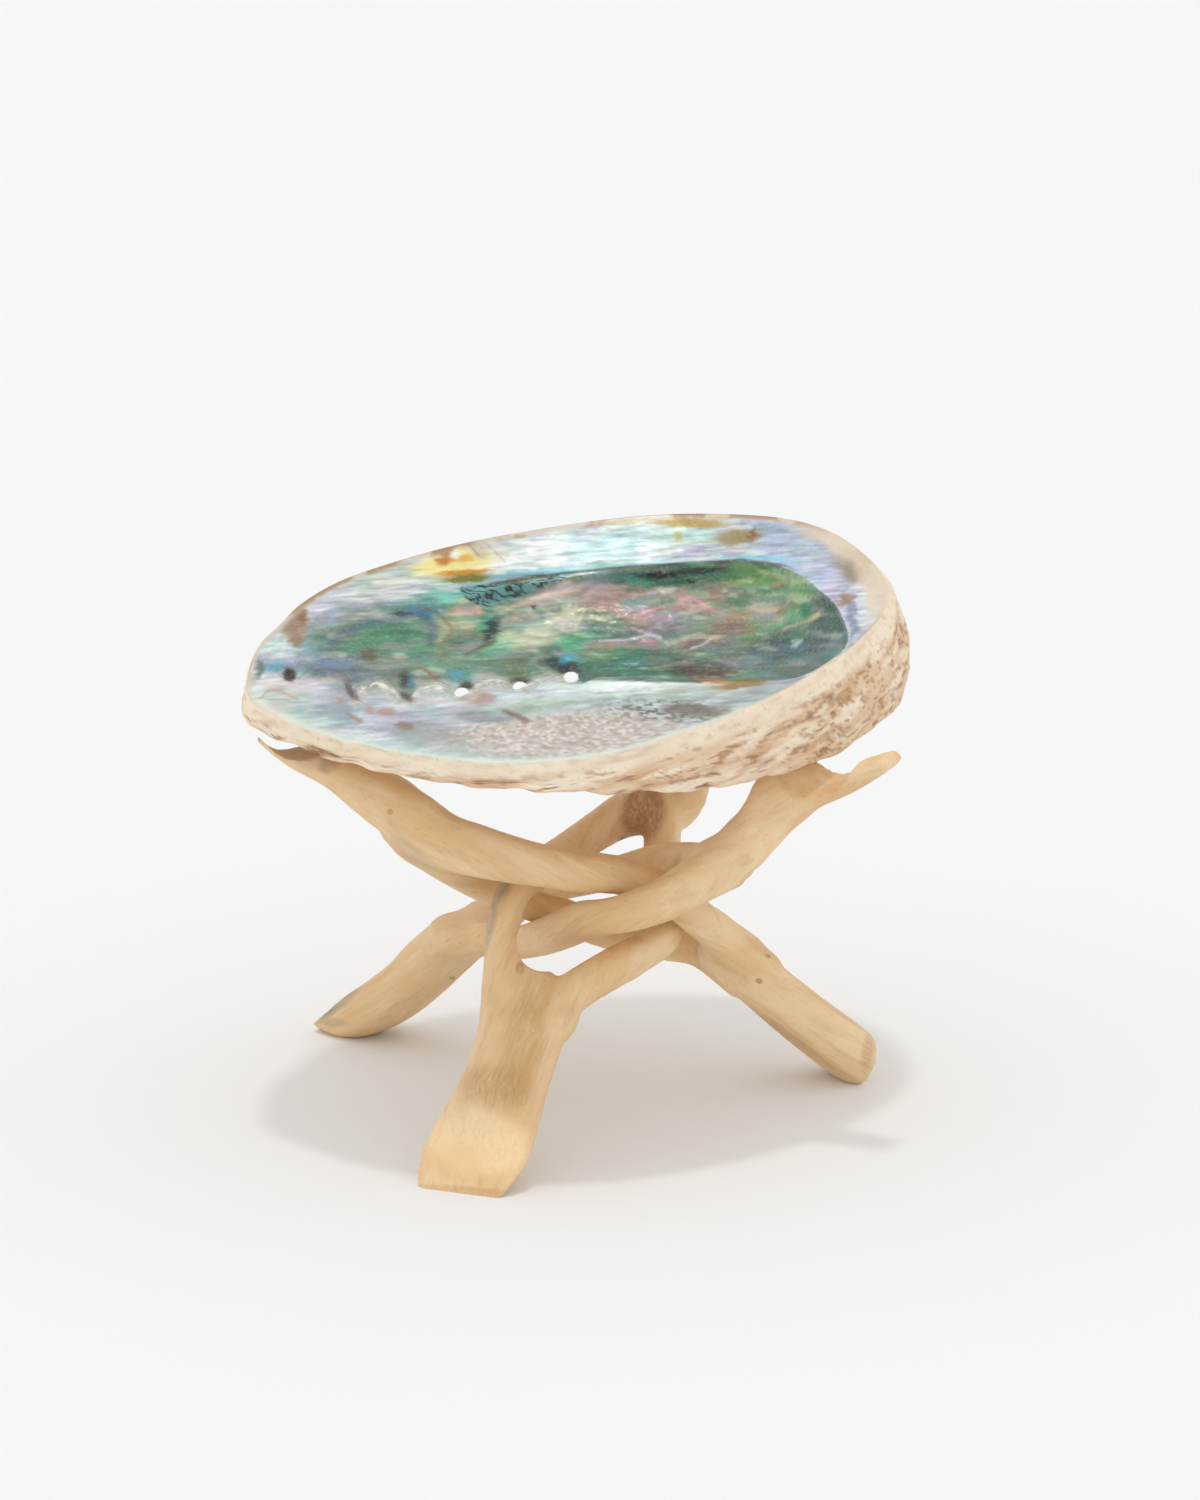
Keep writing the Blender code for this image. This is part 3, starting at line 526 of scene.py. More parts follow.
def outside_rings(directions, under=UNDER_RINGS, wall=WALL_RINGS, grow=0.0):
    """Rings of the outside from its lowest point, along the underside, up the wall to the lip."""
    rim = rim_radius(directions)
    lip_depth = around(LIP_DEPTH, directions)
    lip_width = around(LIP_WIDTH, directions)
    foot = around(WALL_FOOT, directions)
    bulge = around(WALL_BULGE, directions)
    dx = np.cos(np.radians(directions))
    dy = np.sin(np.radians(directions))
    rings = []
    for i in range(1, under + 1):
        rho = 0.95 * (i / under) ** 0.8
        thin = plain_depth(rho * rim, directions)
        if rho < 0.6:
            thin = blend_to_mean(thin, rho / 0.6)
        thin = thin + WALL
        level = foot * (1.06 - 0.06 * rho)
        depth = 0.5 * (thin + level + np.sqrt((thin - level) ** 2 + 4.0))
        rings.append((rho * rim, depth, 1.0))
    downs = (1.0, 0.9, 0.7, 0.4, 0.0)
    outs = (-0.2, 0.6, 1.0, 0.85, 0.0)
    for i in range(wall + 1):
        down = 1.0 - i / wall
        out = float(np.interp(-down, [-d for d in downs], outs))
        depth = lip_depth + (foot - lip_depth) * down
        near_lip = lip_width * (0.9 + 0.1 * (1.0 - down))
        rings.append((rim + near_lip + bulge * out, depth, 0.3 + 0.3 * min(1.0, down * 4.0)))
    if grow == 0.0:
        for share in (0.94, 0.8, 0.6, 0.4, 0.2, 0.08):
            rings.append((rim + lip_width * share ** 0.7, lip_depth * share, 0.301))
    result = []
    for radius, depth, roughness in rings:
        u = BOWL_CENTRE[0] + radius * dx
        v = BOWL_CENTRE[1] + radius * dy
        hump = 5.0 * np.exp(-((u - SPIRE[0]) / 14.0) ** 2 - ((v - SPIRE[1]) / 12.0) ** 2)
        for hu, hv, _ in HOLES[:-1]:
            hump = hump + 0.8 * np.exp(-((u - hu - 4.0) / 4.5) ** 2 - ((v - hv - 5.0) / 4.5) ** 2)
        depth = depth + hump * np.clip((rim - radius) / 8.0, 0.0, 1.0)
        wear = worn_layers(u, v, directions, depth) * roughness
        share = min(1.0, roughness * 1.2 - 0.2)
        outward = wear * (1.0 - share) + grow
        if roughness == 1.0:
            outward = 0.0
        rise = rim_rise(directions) * (np.minimum(radius, rim) / rim) ** 3
        worn = 0.0
        if grow == 0.0:
            worn = crust_relief(directions, depth, radius) * min(1.0, 2.0 * roughness - 0.4)
        side = 1.0 if roughness < 1.0 else 0.0
        result.append((u + (outward - worn * side) * dx, v + (outward - worn * side) * dy,
                       depth + wear * share + grow - rise - worn * (1.0 - side)))
    return result


def crust_relief(directions, depth, radius):
    """How far the worn crust is eaten in, in millimetres: fine lumps and long worm pits."""
    arc = np.radians(directions) * 62.0
    lumps = fractal(arc * 0.3, (depth + 0.12 * arc) * 0.8 + radius * 0.4, 5, 4)
    return 0.9 * lumps + 0.8 * pit_share(directions, depth, radius)


# Colours of the nacre, painted in the picture's own coordinates
def blob(x, y, mark, soft=0.22):
    """1 inside a tilted ellipse and 0 outside, with a soft edge."""
    cx, cy, rx, ry, turn = mark
    a = radians(turn)
    along = (x - cx) * cos(a) + (y - cy) * sin(a)
    across = -(x - cx) * sin(a) + (y - cy) * cos(a)
    reach = np.sqrt((along / rx) ** 2 + (across / ry) ** 2)
    return 1.0 / (1.0 + np.exp(np.clip((reach - 1.0) / soft, -40.0, 40.0)))


def line_distance(x, y, points):
    """Distance of each point to a broken line, in the picture's pixels."""
    best = np.full_like(x, 1e9)
    for (ax, ay), (bx, by) in zip(points, points[1:]):
        dx = bx - ax
        dy = by - ay
        t = np.clip(((x - ax) * dx + (y - ay) * dy) / (dx * dx + dy * dy), 0.0, 1.0)
        best = np.minimum(best, np.hypot(x - ax - t * dx, y - ay - t * dy))
    return best


# Tones of the nacre: a ground, and the streaks in it.
FAR_BAND_TONES = ((204, 216, 214), (184, 180, 206))
SHELF_TONES = ((204, 210, 214), (176, 196, 196))
HOLLOW_TONES = ((116, 128, 104), (84, 120, 104))
HIDDEN_WALL_TONES = ((74, 106, 92), (112, 142, 112))
# Veins of the wall that the picture hides: colour, seed, shift and fineness of the pattern, its two
# levels, strength.
HIDDEN_WALL_VEINS = [
    ((152, 134, 132), 421, (30.0, 0.0), 1.0, (0.52, 0.64), 0.7),
    ((88, 148, 150), 431, (0.0, 30.0), 1.0, (0.52, 0.64), 0.6),
    ((196, 206, 178), 441, (0.0, 60.0), 1.4, (0.58, 0.7), 0.6),
]
# Veins of the nacre: colour, seed, level, strength.
NACRE_VEINS = [
    ((232, 170, 190), 51, 0.64, 0.3), ((90, 196, 140), 63, 0.64, 0.3), ((100, 160, 200), 75, 0.67, 0.25),
    ((240, 238, 206), 87, 0.65, 0.4), ((40, 84, 66), 99, 0.66, 0.3),
]
# The rough silvery patch of the near shelf, its upper edge, and the dark flecks at its right end. Its light
# grains are painted glints.
STIPPLED_PATCH = (575, 735, 128, 24, 0)
STIPPLE_TOP_X = [440.0, 500.0, 560.0, 640.0, 720.0]
STIPPLE_TOP_Y = [728.0, 722.0, 712.0, 706.0, 702.0]
STIPPLE_TONES = ((196, 178, 164), (240, 232, 222), (150, 126, 108))
FLECK_PATCH = (672, 711, 56, 10, 3)
FLECK_COLOUR = (62, 54, 42)
# The small leaf-shaped patch at the step, and the painted shade line under the overhang of the step.
LEAF_TOP_X = [458.0, 478.0, 520.0, 572.0]
LEAF_TOP_Y = [587.0, 584.0, 582.0, 573.0]
LEAF_BOTTOM_X = [458.0, 466.0, 484.0, 500.0, 530.0, 572.0]
LEAF_BOTTOM_Y = [590.0, 600.0, 609.0, 604.0, 593.0, 577.0]
LEAF_COLOUR = (92, 150, 156)
LEAF_LINE_COLOUR = (24, 30, 32)
STEP_LINE_X = [472.0, 560.0, 628.0, 741.0, 786.0, 820.0, 841.0]
STEP_LINE_Y = [587.0, 573.5, 567.0, 560.0, 566.0, 580.0, 602.0]
STEP_SHADE_COLOUR = (40, 54, 50)
# The wrinkled muscle scar, and the small round dimple at its right end.
SCAR_PATCH = (600, 620, 210, 52, 0)
DIMPLE_PATCH = (803, 610, 9, 9, 0)
# Folds beside the holes, and the lip where the inside meets the crust. The folds' near-white tone is a
# painted highlight along their crests.
ROPE_COLOUR = (206, 206, 194)
ROPE_LINE_COLOUR = (140, 138, 112)
ROPE_PAINTED_HIGHLIGHT = (255, 253, 248)
LIP_CREAM = (216, 202, 178)
LIP_NEAR = (224, 236, 222)
LIP_RIGHT = (230, 210, 182)
LIP_BROWN = (152, 108, 64)
# The lower and upper edges of the deep green hollow, in the picture.
NEAR_EDGE_X = [240.0, 300.0, 330.0, 400.0, 450.0, 520.0, 585.0, 640.0, 700.0, 775.0, 809.0, 836.0, 850.0]
NEAR_EDGE_Y = [655.0, 674.0, 688.0, 686.0, 676.0, 676.0, 677.0, 680.0, 683.0, 685.0, 677.0, 655.0, 640.0]
HOLLOW_TOP_X = [290.0, 310.0, 340.0, 400.0, 450.0, 488.0, 560.0, 628.0, 741.0, 786.0, 820.0, 841.0, 848.0]
HOLLOW_TOP_Y = [640.0, 622.0, 606.0, 596.0, 586.0, 578.0, 573.0, 566.0, 560.0, 566.0, 580.0, 602.0, 634.0]
# Right of here the near wall of the hollow is hidden: where that begins and where it is complete.
HIDDEN_FROM_X = (560.0, 600.0)
HIDDEN_MARGIN = 4.0
# Soft fields of colour: centre x, y, half sizes, turn in degrees, colour, strength. Some are painted shade
# and painted highlights, marked where they stand.
BOWL_FIELDS = [
    ((358, 611, 50, 13, -12), (112, 152, 138), 0.9), ((322, 615, 20, 12, -30), (160, 184, 204), 0.8),
    ((309, 648, 16, 10, 0), (112, 166, 164), 0.7), ((330, 661, 26, 10, 0), (108, 118, 168), 0.85),
    ((400, 636, 46, 15, -4), (62, 134, 92), 0.95), ((372, 648, 34, 10, 0), (74, 128, 92), 0.85),
    ((387, 666, 34, 5, 0), (142, 160, 150), 0.6), ((340, 674, 40, 10, 4), (90, 106, 122), 0.8),
    ((402, 680, 26, 8, 0), (104, 116, 108), 0.7), ((425, 656, 16, 8, 0), (92, 150, 146), 0.7),
    ((448, 594, 36, 10, -8), (124, 208, 192), 0.85), ((429, 615, 13, 8, 0), (72, 148, 184), 0.85),
    ((442, 630, 9, 12, 0), (176, 184, 144), 0.85), ((463, 616, 20, 14, 0), (206, 192, 150), 0.85),
    ((471, 612, 9, 4, -10), (214, 166, 130), 0.7), ((436, 652, 10, 7, 0), (102, 162, 130), 0.8),
    ((476, 667, 54, 8, 0), (112, 152, 128), 0.75), ((524, 660, 34, 10, 0), (118, 124, 92), 0.85),
    ((497, 646, 24, 8, -18), (88, 188, 132), 0.8), ((486, 622, 9, 9, -30), (58, 150, 112), 0.9),
    # Painted highlight: the cream field at 540, 632.
    ((540, 632, 44, 13, -16), (214, 216, 184), 0.8), ((518, 618, 26, 8, -18), (178, 168, 150), 0.7),
    ((545, 600, 32, 9, -14), (190, 170, 168), 0.8), ((583, 590, 34, 9, -4), (190, 172, 184), 0.85),
    ((601, 604, 28, 9, -4), (156, 136, 116), 0.75), ((574, 641, 22, 8, 0), (62, 164, 114), 0.85),
    ((569, 657, 16, 6, 0), (62, 150, 160), 0.7), ((617, 620, 20, 8, 0), (82, 150, 108), 0.75),
    ((673, 606, 84, 26, 4), (174, 140, 132), 0.95), ((707, 586, 44, 10, 4), (160, 134, 118), 0.85),
    ((666, 638, 40, 11, 0), (156, 126, 138), 0.85), ((700, 640, 34, 10, 4), (134, 116, 104), 0.85),
    ((610, 655, 26, 7, 0), (150, 144, 92), 0.75), ((630, 655, 18, 7, 0), (38, 134, 104), 0.85),
    ((628, 668, 66, 8, 0), (42, 112, 88), 0.85), ((752, 580, 34, 15, 6), (104, 152, 80), 0.9),
    ((795, 588, 26, 16, 14), (108, 158, 90), 0.85), ((775, 584, 12, 5, 0), (176, 132, 72), 0.8),
    ((762, 614, 32, 11, 0), (166, 150, 110), 0.85), ((730, 634, 22, 9, 0), (140, 112, 92), 0.6),
    # Painted highlight: the pale green field at 789, 616.
    ((789, 616, 18, 8, -16), (130, 202, 150), 0.85), ((760, 636, 24, 5, -16), (118, 164, 100), 0.7),
    # Painted shade: the dark teal field at 790, 646 on the bowl's right wall.
    ((829, 604, 13, 32, 16), (50, 90, 78), 0.9), ((790, 646, 56, 15, -16), (56, 84, 84), 0.95),
    # Painted shade: the field at 810, 664, on the same wall.
    ((728, 661, 36, 8, 0), (140, 140, 124), 0.8), ((810, 664, 30, 9, -20), (88, 112, 106), 0.7),
    # Painted shade: the near-black field at 700, 669 under the near edge of the hollow.
    ((838, 640, 10, 22, 12), (84, 132, 132), 0.8), ((700, 669, 34, 9, 4), (52, 42, 24), 0.9),
    # Painted shade: both fields here, dark green under the overhanging step.
    ((668, 578, 62, 8, -3), (34, 92, 70), 0.9), ((780, 567, 40, 5, 14), (60, 96, 66), 0.6),
]
BAND_FIELDS = [
    ((330, 596, 52, 14, -30), (212, 212, 224), 0.8), ((392, 578, 48, 11, -18), (214, 222, 204), 0.8),
    # Painted reflection: the near-white field at 530, 556 on the far band.
    ((430, 566, 16, 9, -10), (232, 226, 150), 0.7), ((530, 556, 70, 13, -8), (250, 252, 252), 0.97),
    ((617, 548, 50, 14, -4), (190, 226, 226), 0.85), ((520, 574, 56, 4, -7), (122, 188, 200), 0.85),
    ((620, 567, 60, 4, -6), (150, 196, 190), 0.85), ((673, 536, 50, 9, 0), (186, 212, 202), 0.85),
    ((770, 532, 26, 9, 0), (160, 184, 220), 0.85), ((790, 542, 48, 14, 10), (168, 182, 202), 0.85),
    ((762, 560, 34, 4, 6), (118, 198, 214), 0.9), ((800, 572, 26, 4, 24), (170, 190, 226), 0.8),
    ((826, 574, 20, 16, 40), (196, 196, 232), 0.85), ((866, 610, 18, 26, -14), (222, 226, 236), 0.97),
    ((849, 618, 4, 26, -10), (120, 128, 164), 0.8), ((274, 645, 19, 13, -8), (206, 222, 222), 0.97),
    ((269, 668, 17, 4.5, -6), (90, 160, 184), 0.9), ((254, 670, 5, 9, 0), (72, 84, 66), 0.8),
    ((303, 670, 20, 8, 0), (112, 136, 152), 0.85), ((306, 648, 12, 12, 0), (124, 160, 186), 0.7),
]
SHELF_FIELDS = [
    ((322, 688, 42, 10, 10), (216, 206, 216), 0.9), ((282, 690, 20, 9, 20), (222, 214, 206), 0.8),
    ((339, 712, 20, 9, 28), (122, 142, 156), 0.85), ((390, 716, 54, 12, 12), (180, 180, 202), 0.85),
    ((440, 704, 30, 6, 6), (206, 200, 216), 0.8), ((432, 734, 48, 11, 10), (130, 140, 152), 0.85),
    # Painted reflection: the near-white field at 615, 685 along the near shelf.
    ((482, 718, 28, 7, 6), (126, 130, 138), 0.85), ((615, 685, 70, 7, -2), (242, 252, 248), 0.98),
    ((545, 693, 44, 7, -4), (214, 220, 232), 0.85), ((583, 699, 70, 3.5, -4), (168, 196, 176), 0.8),
    ((540, 706, 44, 5, -4), (150, 174, 154), 0.8), ((690, 690, 40, 6, -6), (190, 204, 188), 0.8),
    ((741, 696, 30, 9, -24), (164, 176, 178), 0.85), ((290, 716, 50, 6, 24), (214, 210, 190), 0.8),
    ((352, 742, 60, 6, 16), (196, 200, 190), 0.7),
]
# Stains and spots, with a sharper edge; a few also hold painted shade and a painted highlight, marked where
# they stand.
SPOTS = [
    ((294.7, 624, 13, 14, 0), (152, 122, 92), 0.9), ((303, 617, 4, 9, 10), (136, 92, 50), 0.8),
    ((296, 642, 6, 6, 0), (142, 112, 80), 0.8), ((288.4, 674.2, 6, 6.5, 0), (46, 28, 14), 1.0),
    ((369.5, 655.3, 7.5, 7.5, -40), (92, 78, 48), 0.95), ((404, 614, 8, 2, 0), (26, 38, 40), 0.85),
    ((421, 609, 14, 6, 0), (66, 138, 168), 0.8), ((438, 626, 8, 10, 10), (156, 164, 124), 0.85),
    ((438, 653, 9, 8, 0), (112, 140, 110), 0.8), ((490.5, 630, 6, 13, 24), (16, 46, 38), 0.95),
    ((478, 697.5, 17, 6.5, 4), (170, 124, 114), 0.85), ((516, 716, 15, 2.6, 24), (104, 68, 36), 0.9),
    ((431, 674, 9, 1.6, 40), (146, 92, 70), 0.8), ((387, 712, 9, 3, -8), (168, 122, 96), 0.7),
    ((370, 709, 6, 4, 30), (172, 128, 100), 0.6), ((341, 701, 5, 3, 0), (184, 128, 86), 0.7),
    ((404, 725, 9, 4.5, 12), (118, 88, 60), 0.8), ((345, 712, 11, 9, 30), (142, 152, 168), 0.7),
    ((355, 718, 6, 1.8, 40), (150, 104, 60), 0.8), ((458, 562, 38, 13, -12), (250, 232, 140), 0.85),
    ((445, 561, 9, 4.5, -6), (190, 112, 36), 0.85), ((463, 559, 8, 4, -10), (222, 156, 60), 0.7),
    ((444, 552, 7.5, 5, -10), (150, 120, 114), 0.85), ((455, 555, 6, 3.5, -10), (250, 246, 240), 0.9),
    ((465, 572.5, 26, 2.4, -5), (206, 134, 26), 0.95), ((467, 578.5, 23, 4, -5), (112, 108, 26), 0.9),
    ((480, 551, 8, 8, 20), (206, 192, 172), 0.8), ((496, 548, 12, 7, 30), (228, 226, 222), 0.7),
    ((689, 523, 36, 4.5, 2), (170, 138, 62), 0.85), ((718.5, 516, 12, 3, 0), (196, 120, 36), 0.9),
    ((739, 537, 22, 7.5, -8), (152, 136, 92), 0.95), ((752, 534, 4, 7, 20), (128, 92, 50), 0.8),
    ((678, 537, 5, 5, 0), (178, 168, 88), 0.7), ((620, 520, 26, 4, -4), (170, 160, 104), 0.5),
    # Painted shade: both dark spots here, under the overhanging step.
    ((660, 574.5, 26, 2.6, -2), (12, 14, 14), 1.0), ((700, 571, 26, 2.4, -6), (24, 44, 34), 0.9),
    # Painted shade: the dark spot at 704, 671 under the near edge.
    ((704, 671, 30, 5, 3), (64, 50, 32), 0.75), ((804.5, 609, 5.5, 8, 0), (44, 124, 86), 0.95),
    # Painted highlight: the pale rim at 815, 616 on the lit side of the dimple.
    ((815, 616, 10, 2.4, -30), (214, 186, 152), 0.9), ((804, 600, 8, 2.4, 0), (150, 190, 150), 0.7),
    ((796.6, 643, 5, 4, -40), (186, 206, 204), 0.9), ((741, 684, 26, 3.8, -6), (146, 100, 34), 0.9),
    ((709, 680.5, 22, 2, 2), (198, 116, 40), 0.85), ((696, 711, 32, 6, 6), (96, 82, 66), 0.85),
    ((854, 566, 18, 16, 50), (146, 128, 104), 0.9), ((868, 562, 6, 12, 30), (104, 84, 62), 0.7),
    ((806, 524, 14, 4, 10), (186, 158, 120), 0.7), ((846, 600, 10, 5, -30), (150, 118, 88), 0.8),
    ((535, 607, 2.2, 3, -30), (40, 36, 34), 0.8), ((691, 581, 1.8, 1.8, 0), (20, 20, 20), 0.9),
]
# Lines: points, half width, colour, strength, height raised in millimetres. Two are painted highlights,
# marked where they stand.
LINES = [
    ([(334, 642), (341, 634), (366, 624), (398, 618), (419, 613), (434, 628), (430, 640)],
     5.0, (62, 84, 122), 0.5, -0.25),
    ([(419, 606), (436, 612), (450, 626), (450, 634), (442, 642)], 1.8, (122, 108, 66), 0.7, 0.3),
    ([(440, 645), (445, 654), (440, 662)], 1.8, (112, 100, 60), 0.65, 0.25),
    ([(494, 640), (480, 648), (466, 655)], 1.6, (88, 66, 38), 0.85, 0.0),
    ([(600, 641), (625, 640), (650, 634), (660, 637)], 1.3, (226, 204, 206), 0.75, 0.35),
    ([(634, 616), (665, 606), (690, 604), (716, 612), (730, 617), (752, 618)],
     1.2, (222, 160, 168), 0.7, 0.3),
    # Painted highlight: the pink line on a small raised fold.
    ([(680, 600), (692, 597), (700, 602)], 2.0, (230, 160, 184), 0.7, 0.2),
    ([(692, 648), (703, 645), (712, 638)], 1.3, (206, 204, 206), 0.75, 0.3),
    ([(632, 628), (648, 634), (662, 640), (668, 646)], 1.2, (196, 184, 190), 0.6, 0.3),
    ([(500, 614), (520, 604), (545, 597), (580, 590)], 1.8, (208, 196, 150), 0.6, 0.25),
    # Painted highlight: the cream line through 545, 628.
    ([(520, 640), (545, 628), (560, 618)], 2.0, (214, 206, 178), 0.6, 0.3),
    ([(575, 628), (582, 616), (586, 608)], 1.4, (196, 206, 160), 0.6, 0.2),
    ([(786, 628), (812, 620), (820, 614)], 1.6, (206, 196, 150), 0.8, 0.3),
    ([(590, 679), (640, 680), (700, 681)], 1.4, (22, 62, 42), 0.8, 0.0),
    ([(470, 545), (478, 556)], 0.9, (150, 126, 110), 0.5, 0.0),
    ([(486, 543), (500, 557), (505, 562)], 0.9, (168, 146, 126), 0.5, 0.0),
    ([(424, 668), (440, 681)], 1.1, (140, 92, 66), 0.8, 0.0),
    ([(262, 698), (270, 690), (282, 692), (298, 700)], 1.4, (178, 138, 106), 0.6, 0.0),
]
# Painted shade in the holes and pits of the row, among their own blue-green tones, and a painted cyan glint
# at 566, 659.
HOLE_SHADE_AND_GLINT = [
    ((459, 676, 13, 7, 0), (58, 136, 120), 0.85), ((457, 674, 7, 4, 0), (78, 160, 190), 0.8),
    ((466, 686, 7, 4.5, -10), (52, 38, 26), 0.95), ((518, 674, 13, 6, 0), (94, 122, 84), 0.85),
    ((520, 681, 9, 3.5, 0), (58, 44, 26), 0.95), ((560, 664, 18, 6, 10), (16, 44, 42), 0.9),
    # Painted glint: the cyan mark at 566, 659; the dark marks beside it are painted shade.
    ((566, 659, 8, 4, -30), (40, 160, 180), 0.8), ((568, 671, 12, 4, 10), (34, 30, 22), 0.95),
    ((405, 681, 6, 9, -8), (44, 42, 34), 0.95), ((411, 683, 4, 6, 0), (52, 128, 150), 0.85),
    ((407, 697, 7, 4, 30), (54, 36, 24), 0.85), ((350, 690, 4, 8, -30), (84, 86, 84), 0.85),
    ((355, 697, 5, 2.5, 30), (88, 62, 44), 0.8),
]
ROPES = [
    [(356, 700), (364, 688), (378, 684), (394, 690), (400, 700)],
    [(411, 700), (420, 690), (434, 686), (450, 692)], [(470, 694), (480, 685), (494, 681), (510, 685)],
    [(526, 688), (536, 680), (548, 676), (560, 676)],
]
# Hollows of the hole row, open and closed: ellipse in the picture, extra depth in millimetres.
FUNNELS = [
    ((347, 686, 6, 10, -20), 1.2), ((405, 686, 7, 11, -10), 1.6), ((461, 681, 13, 9, 0), 1.4),
    ((518, 678, 13, 7, 0), 1.2), ((564, 667, 15, 8, 0), 1.2),
]


def paint_marks(colour, x, y, marks, soft):
    for mark, rgb, strength in marks:
        share = (blob(x, y, mark, soft) * strength)[:, None]
        colour = colour * (1.0 - share) + np.array(rgb, float) * share
    return colour


def mix(colour, rgb, share):
    return colour * (1.0 - share[:, None]) + np.array(rgb, float) * share[:, None]


def two_tones(tones, share):
    """The first tone, turning into the second where the share is 1."""
    return mix(np.tile(np.array(tones[0], float), (len(share), 1)), tones[1], share)


def hidden_wall_colours(u, v):
    """Colours of the near wall of the hollow, which the picture doesn't show."""
    warp = fractal(u * 0.05, v * 0.05, 401, 3) - 0.5
    pu = u * 0.09 + 2.0 * warp
    pv = v * 0.13 - 1.5 * warp
    colour = two_tones(HIDDEN_WALL_TONES, smooth_step(0.42, 0.58, fractal(pu, pv, 411, 5)))
    for rgb, seed, (shift_u, shift_v), fineness, (low, high), strength in HIDDEN_WALL_VEINS:
        field = fractal(pu * fineness + shift_u, pv * fineness + shift_v, seed, 5)
        colour = mix(colour, rgb, smooth_step(low, high, field) * strength)
    return colour


def hollow_shares(x, y, wx, lean, b):
    """Share of the deep green hollow, and of the shelf below it; both edges are ragged at the left."""
    hard_edge = smooth_step(470.0, 540.0, x)
    rough = 1.0 - 0.85 * hard_edge
    above = y + 20.0 * lean * rough - np.interp(x, HOLLOW_TOP_X, HOLLOW_TOP_Y)
    below = np.interp(x, NEAR_EDGE_X, NEAR_EDGE_Y) - y - 16.0 * lean * rough
    hollow = smooth_step(-4.0 * rough, 12.0 - 10.5 * hard_edge, above)
    hollow = hollow * smooth_step(-6.0 * rough - 1.0, 6.0 * rough + 1.0, below)
    hollow = hollow * smooth_step(290.0, 325.0, wx + 20.0 * lean)
    hollow = hollow * ((b < 0.04) | (x < HIDDEN_FROM_X[0]))
    return hollow, smooth_step(-6.0, 10.0, -below)


def nacre_colours(x, y, u, v, b):
    """Screen colours, 0 to 255, of the inside of the shell, with painted shade, painted highlights and
    painted reflections among the marks.
    """
    hidden = (b < 0.0) * smooth_step(*HIDDEN_FROM_X, x)
    edge = np.interp(x, NEAR_EDGE_X, NEAR_EDGE_Y) - HIDDEN_MARGIN
    behind = (hidden * smooth_step(0.0, 5.0, y - edge))[:, None]
    y = y - np.maximum(y - edge, 0.0) * hidden
    sway = fractal(x * 0.035, y * 0.07, 3, 4) - 0.5
    lean = fractal(x * 0.03 + 40.0, y * 0.08, 9, 4) - 0.5
    curl = fractal(x * 0.09, y * 0.25, 17, 4) - 0.5
    wx = x + 22.0 * sway + 14.0 * curl
    wy = y + 12.0 * lean + 5.0 * curl
    hollow, near = hollow_shares(x, y, wx, lean, b)
    in_hollow = hollow[:, None]
    streak = fractal(x * 0.05 + y * 0.02, y * 0.22, 21, 4)
    far_band = two_tones(FAR_BAND_TONES, smooth_step(0.45, 0.62, streak))
    shelf = two_tones(SHELF_TONES, smooth_step(0.4, 0.62, streak))
    colour = far_band * (1.0 - near[:, None]) + shelf * near[:, None]
    colour = colour * (1.0 - in_hollow) + two_tones(HOLLOW_TONES, smooth_step(0.42, 0.6, streak)) * in_hollow
    deep = paint_marks(colour, wx, wy, BOWL_FIELDS, 0.17)
    flat = paint_marks(paint_marks(colour, wx, wy, BAND_FIELDS, 0.2), wx, wy, SHELF_FIELDS, 0.2)
    colour = flat * (1.0 - in_hollow) + deep * in_hollow
    silk = fractal(x * 0.05, y * 0.45 + x * 0.03, 301, 4) - 0.5
    colour = np.clip(colour * (1.0 + 0.5 * silk)[:, None], 0.0, 255.0)
    colour = sheen_of_colours(colour, x, y, hollow)
    colour = stippled_area(colour, x, y)
    crinkle = fractal(x * 0.14, y * 0.35, 361, 4) - 0.5
    sx = x + 8.0 * curl + 10.0 * crinkle
    sy = y + 3.0 * lean + 4.0 * crinkle
    colour = paint_marks(colour, sx, sy, SPOTS, 0.14)
    for points, width, rgb, strength, _ in LINES:
        gap = line_distance(x + 4.0 * sway, y + 2.0 * lean, points)
        colour = mix(colour, rgb, strength * np.exp(-(gap / width) ** 2))
    colour = leaf_lines(rope_lines(colour, x, y), x, y)
    return colour * (1.0 - behind) + hidden_wall_colours(u, v) * behind


def rope_lines(colour, x, y):
    """Pale pearl folds beside the holes, with fine grey-green lines along them and a painted highlight along
    their crests, then the painted shade and glint at the holes.
    """
    warp = fractal(x * 0.12, y * 0.2, 351, 3) - 0.5
    for points in ROPES:
        gap = line_distance(x + 8.0 * warp, y + 7.0 * warp, points)
        body = smooth_step(9.0, 4.0, gap)
        colour = mix(colour, ROPE_COLOUR, body * 0.6)
        lines = smooth_step(0.45, 0.9, 0.5 + 0.5 * np.sin(gap * 2.4 + 6.0 * warp))
        colour = mix(colour, ROPE_LINE_COLOUR, body * lines * 0.45)
        # Painted highlight: a near-white streak along each fold's crest.
        crest_highlight = smooth_step(2.6, 0.4, gap) * smooth_step(0.0, 0.12, warp + 0.04)
        colour = mix(colour, ROPE_PAINTED_HIGHLIGHT, crest_highlight * 0.85)
    # Painted shade and a painted glint at the holes.
    return paint_marks(colour, x, y, HOLE_SHADE_AND_GLINT, 0.16)


def sheen_of_colours(colour, x, y, hollow):
    """Veins of pink, green, blue and pale light over the base, as thin nacre shows them."""
    for rgb, seed, level, strength in NACRE_VEINS:
        field = fractal(x * 0.03 + seed, y * 0.11, seed, 5)
        share = smooth_step(level - 0.07, level + 0.05, field) * strength * (0.35 + 0.65 * hollow)
        colour = mix(colour, rgb, share)
    return colour


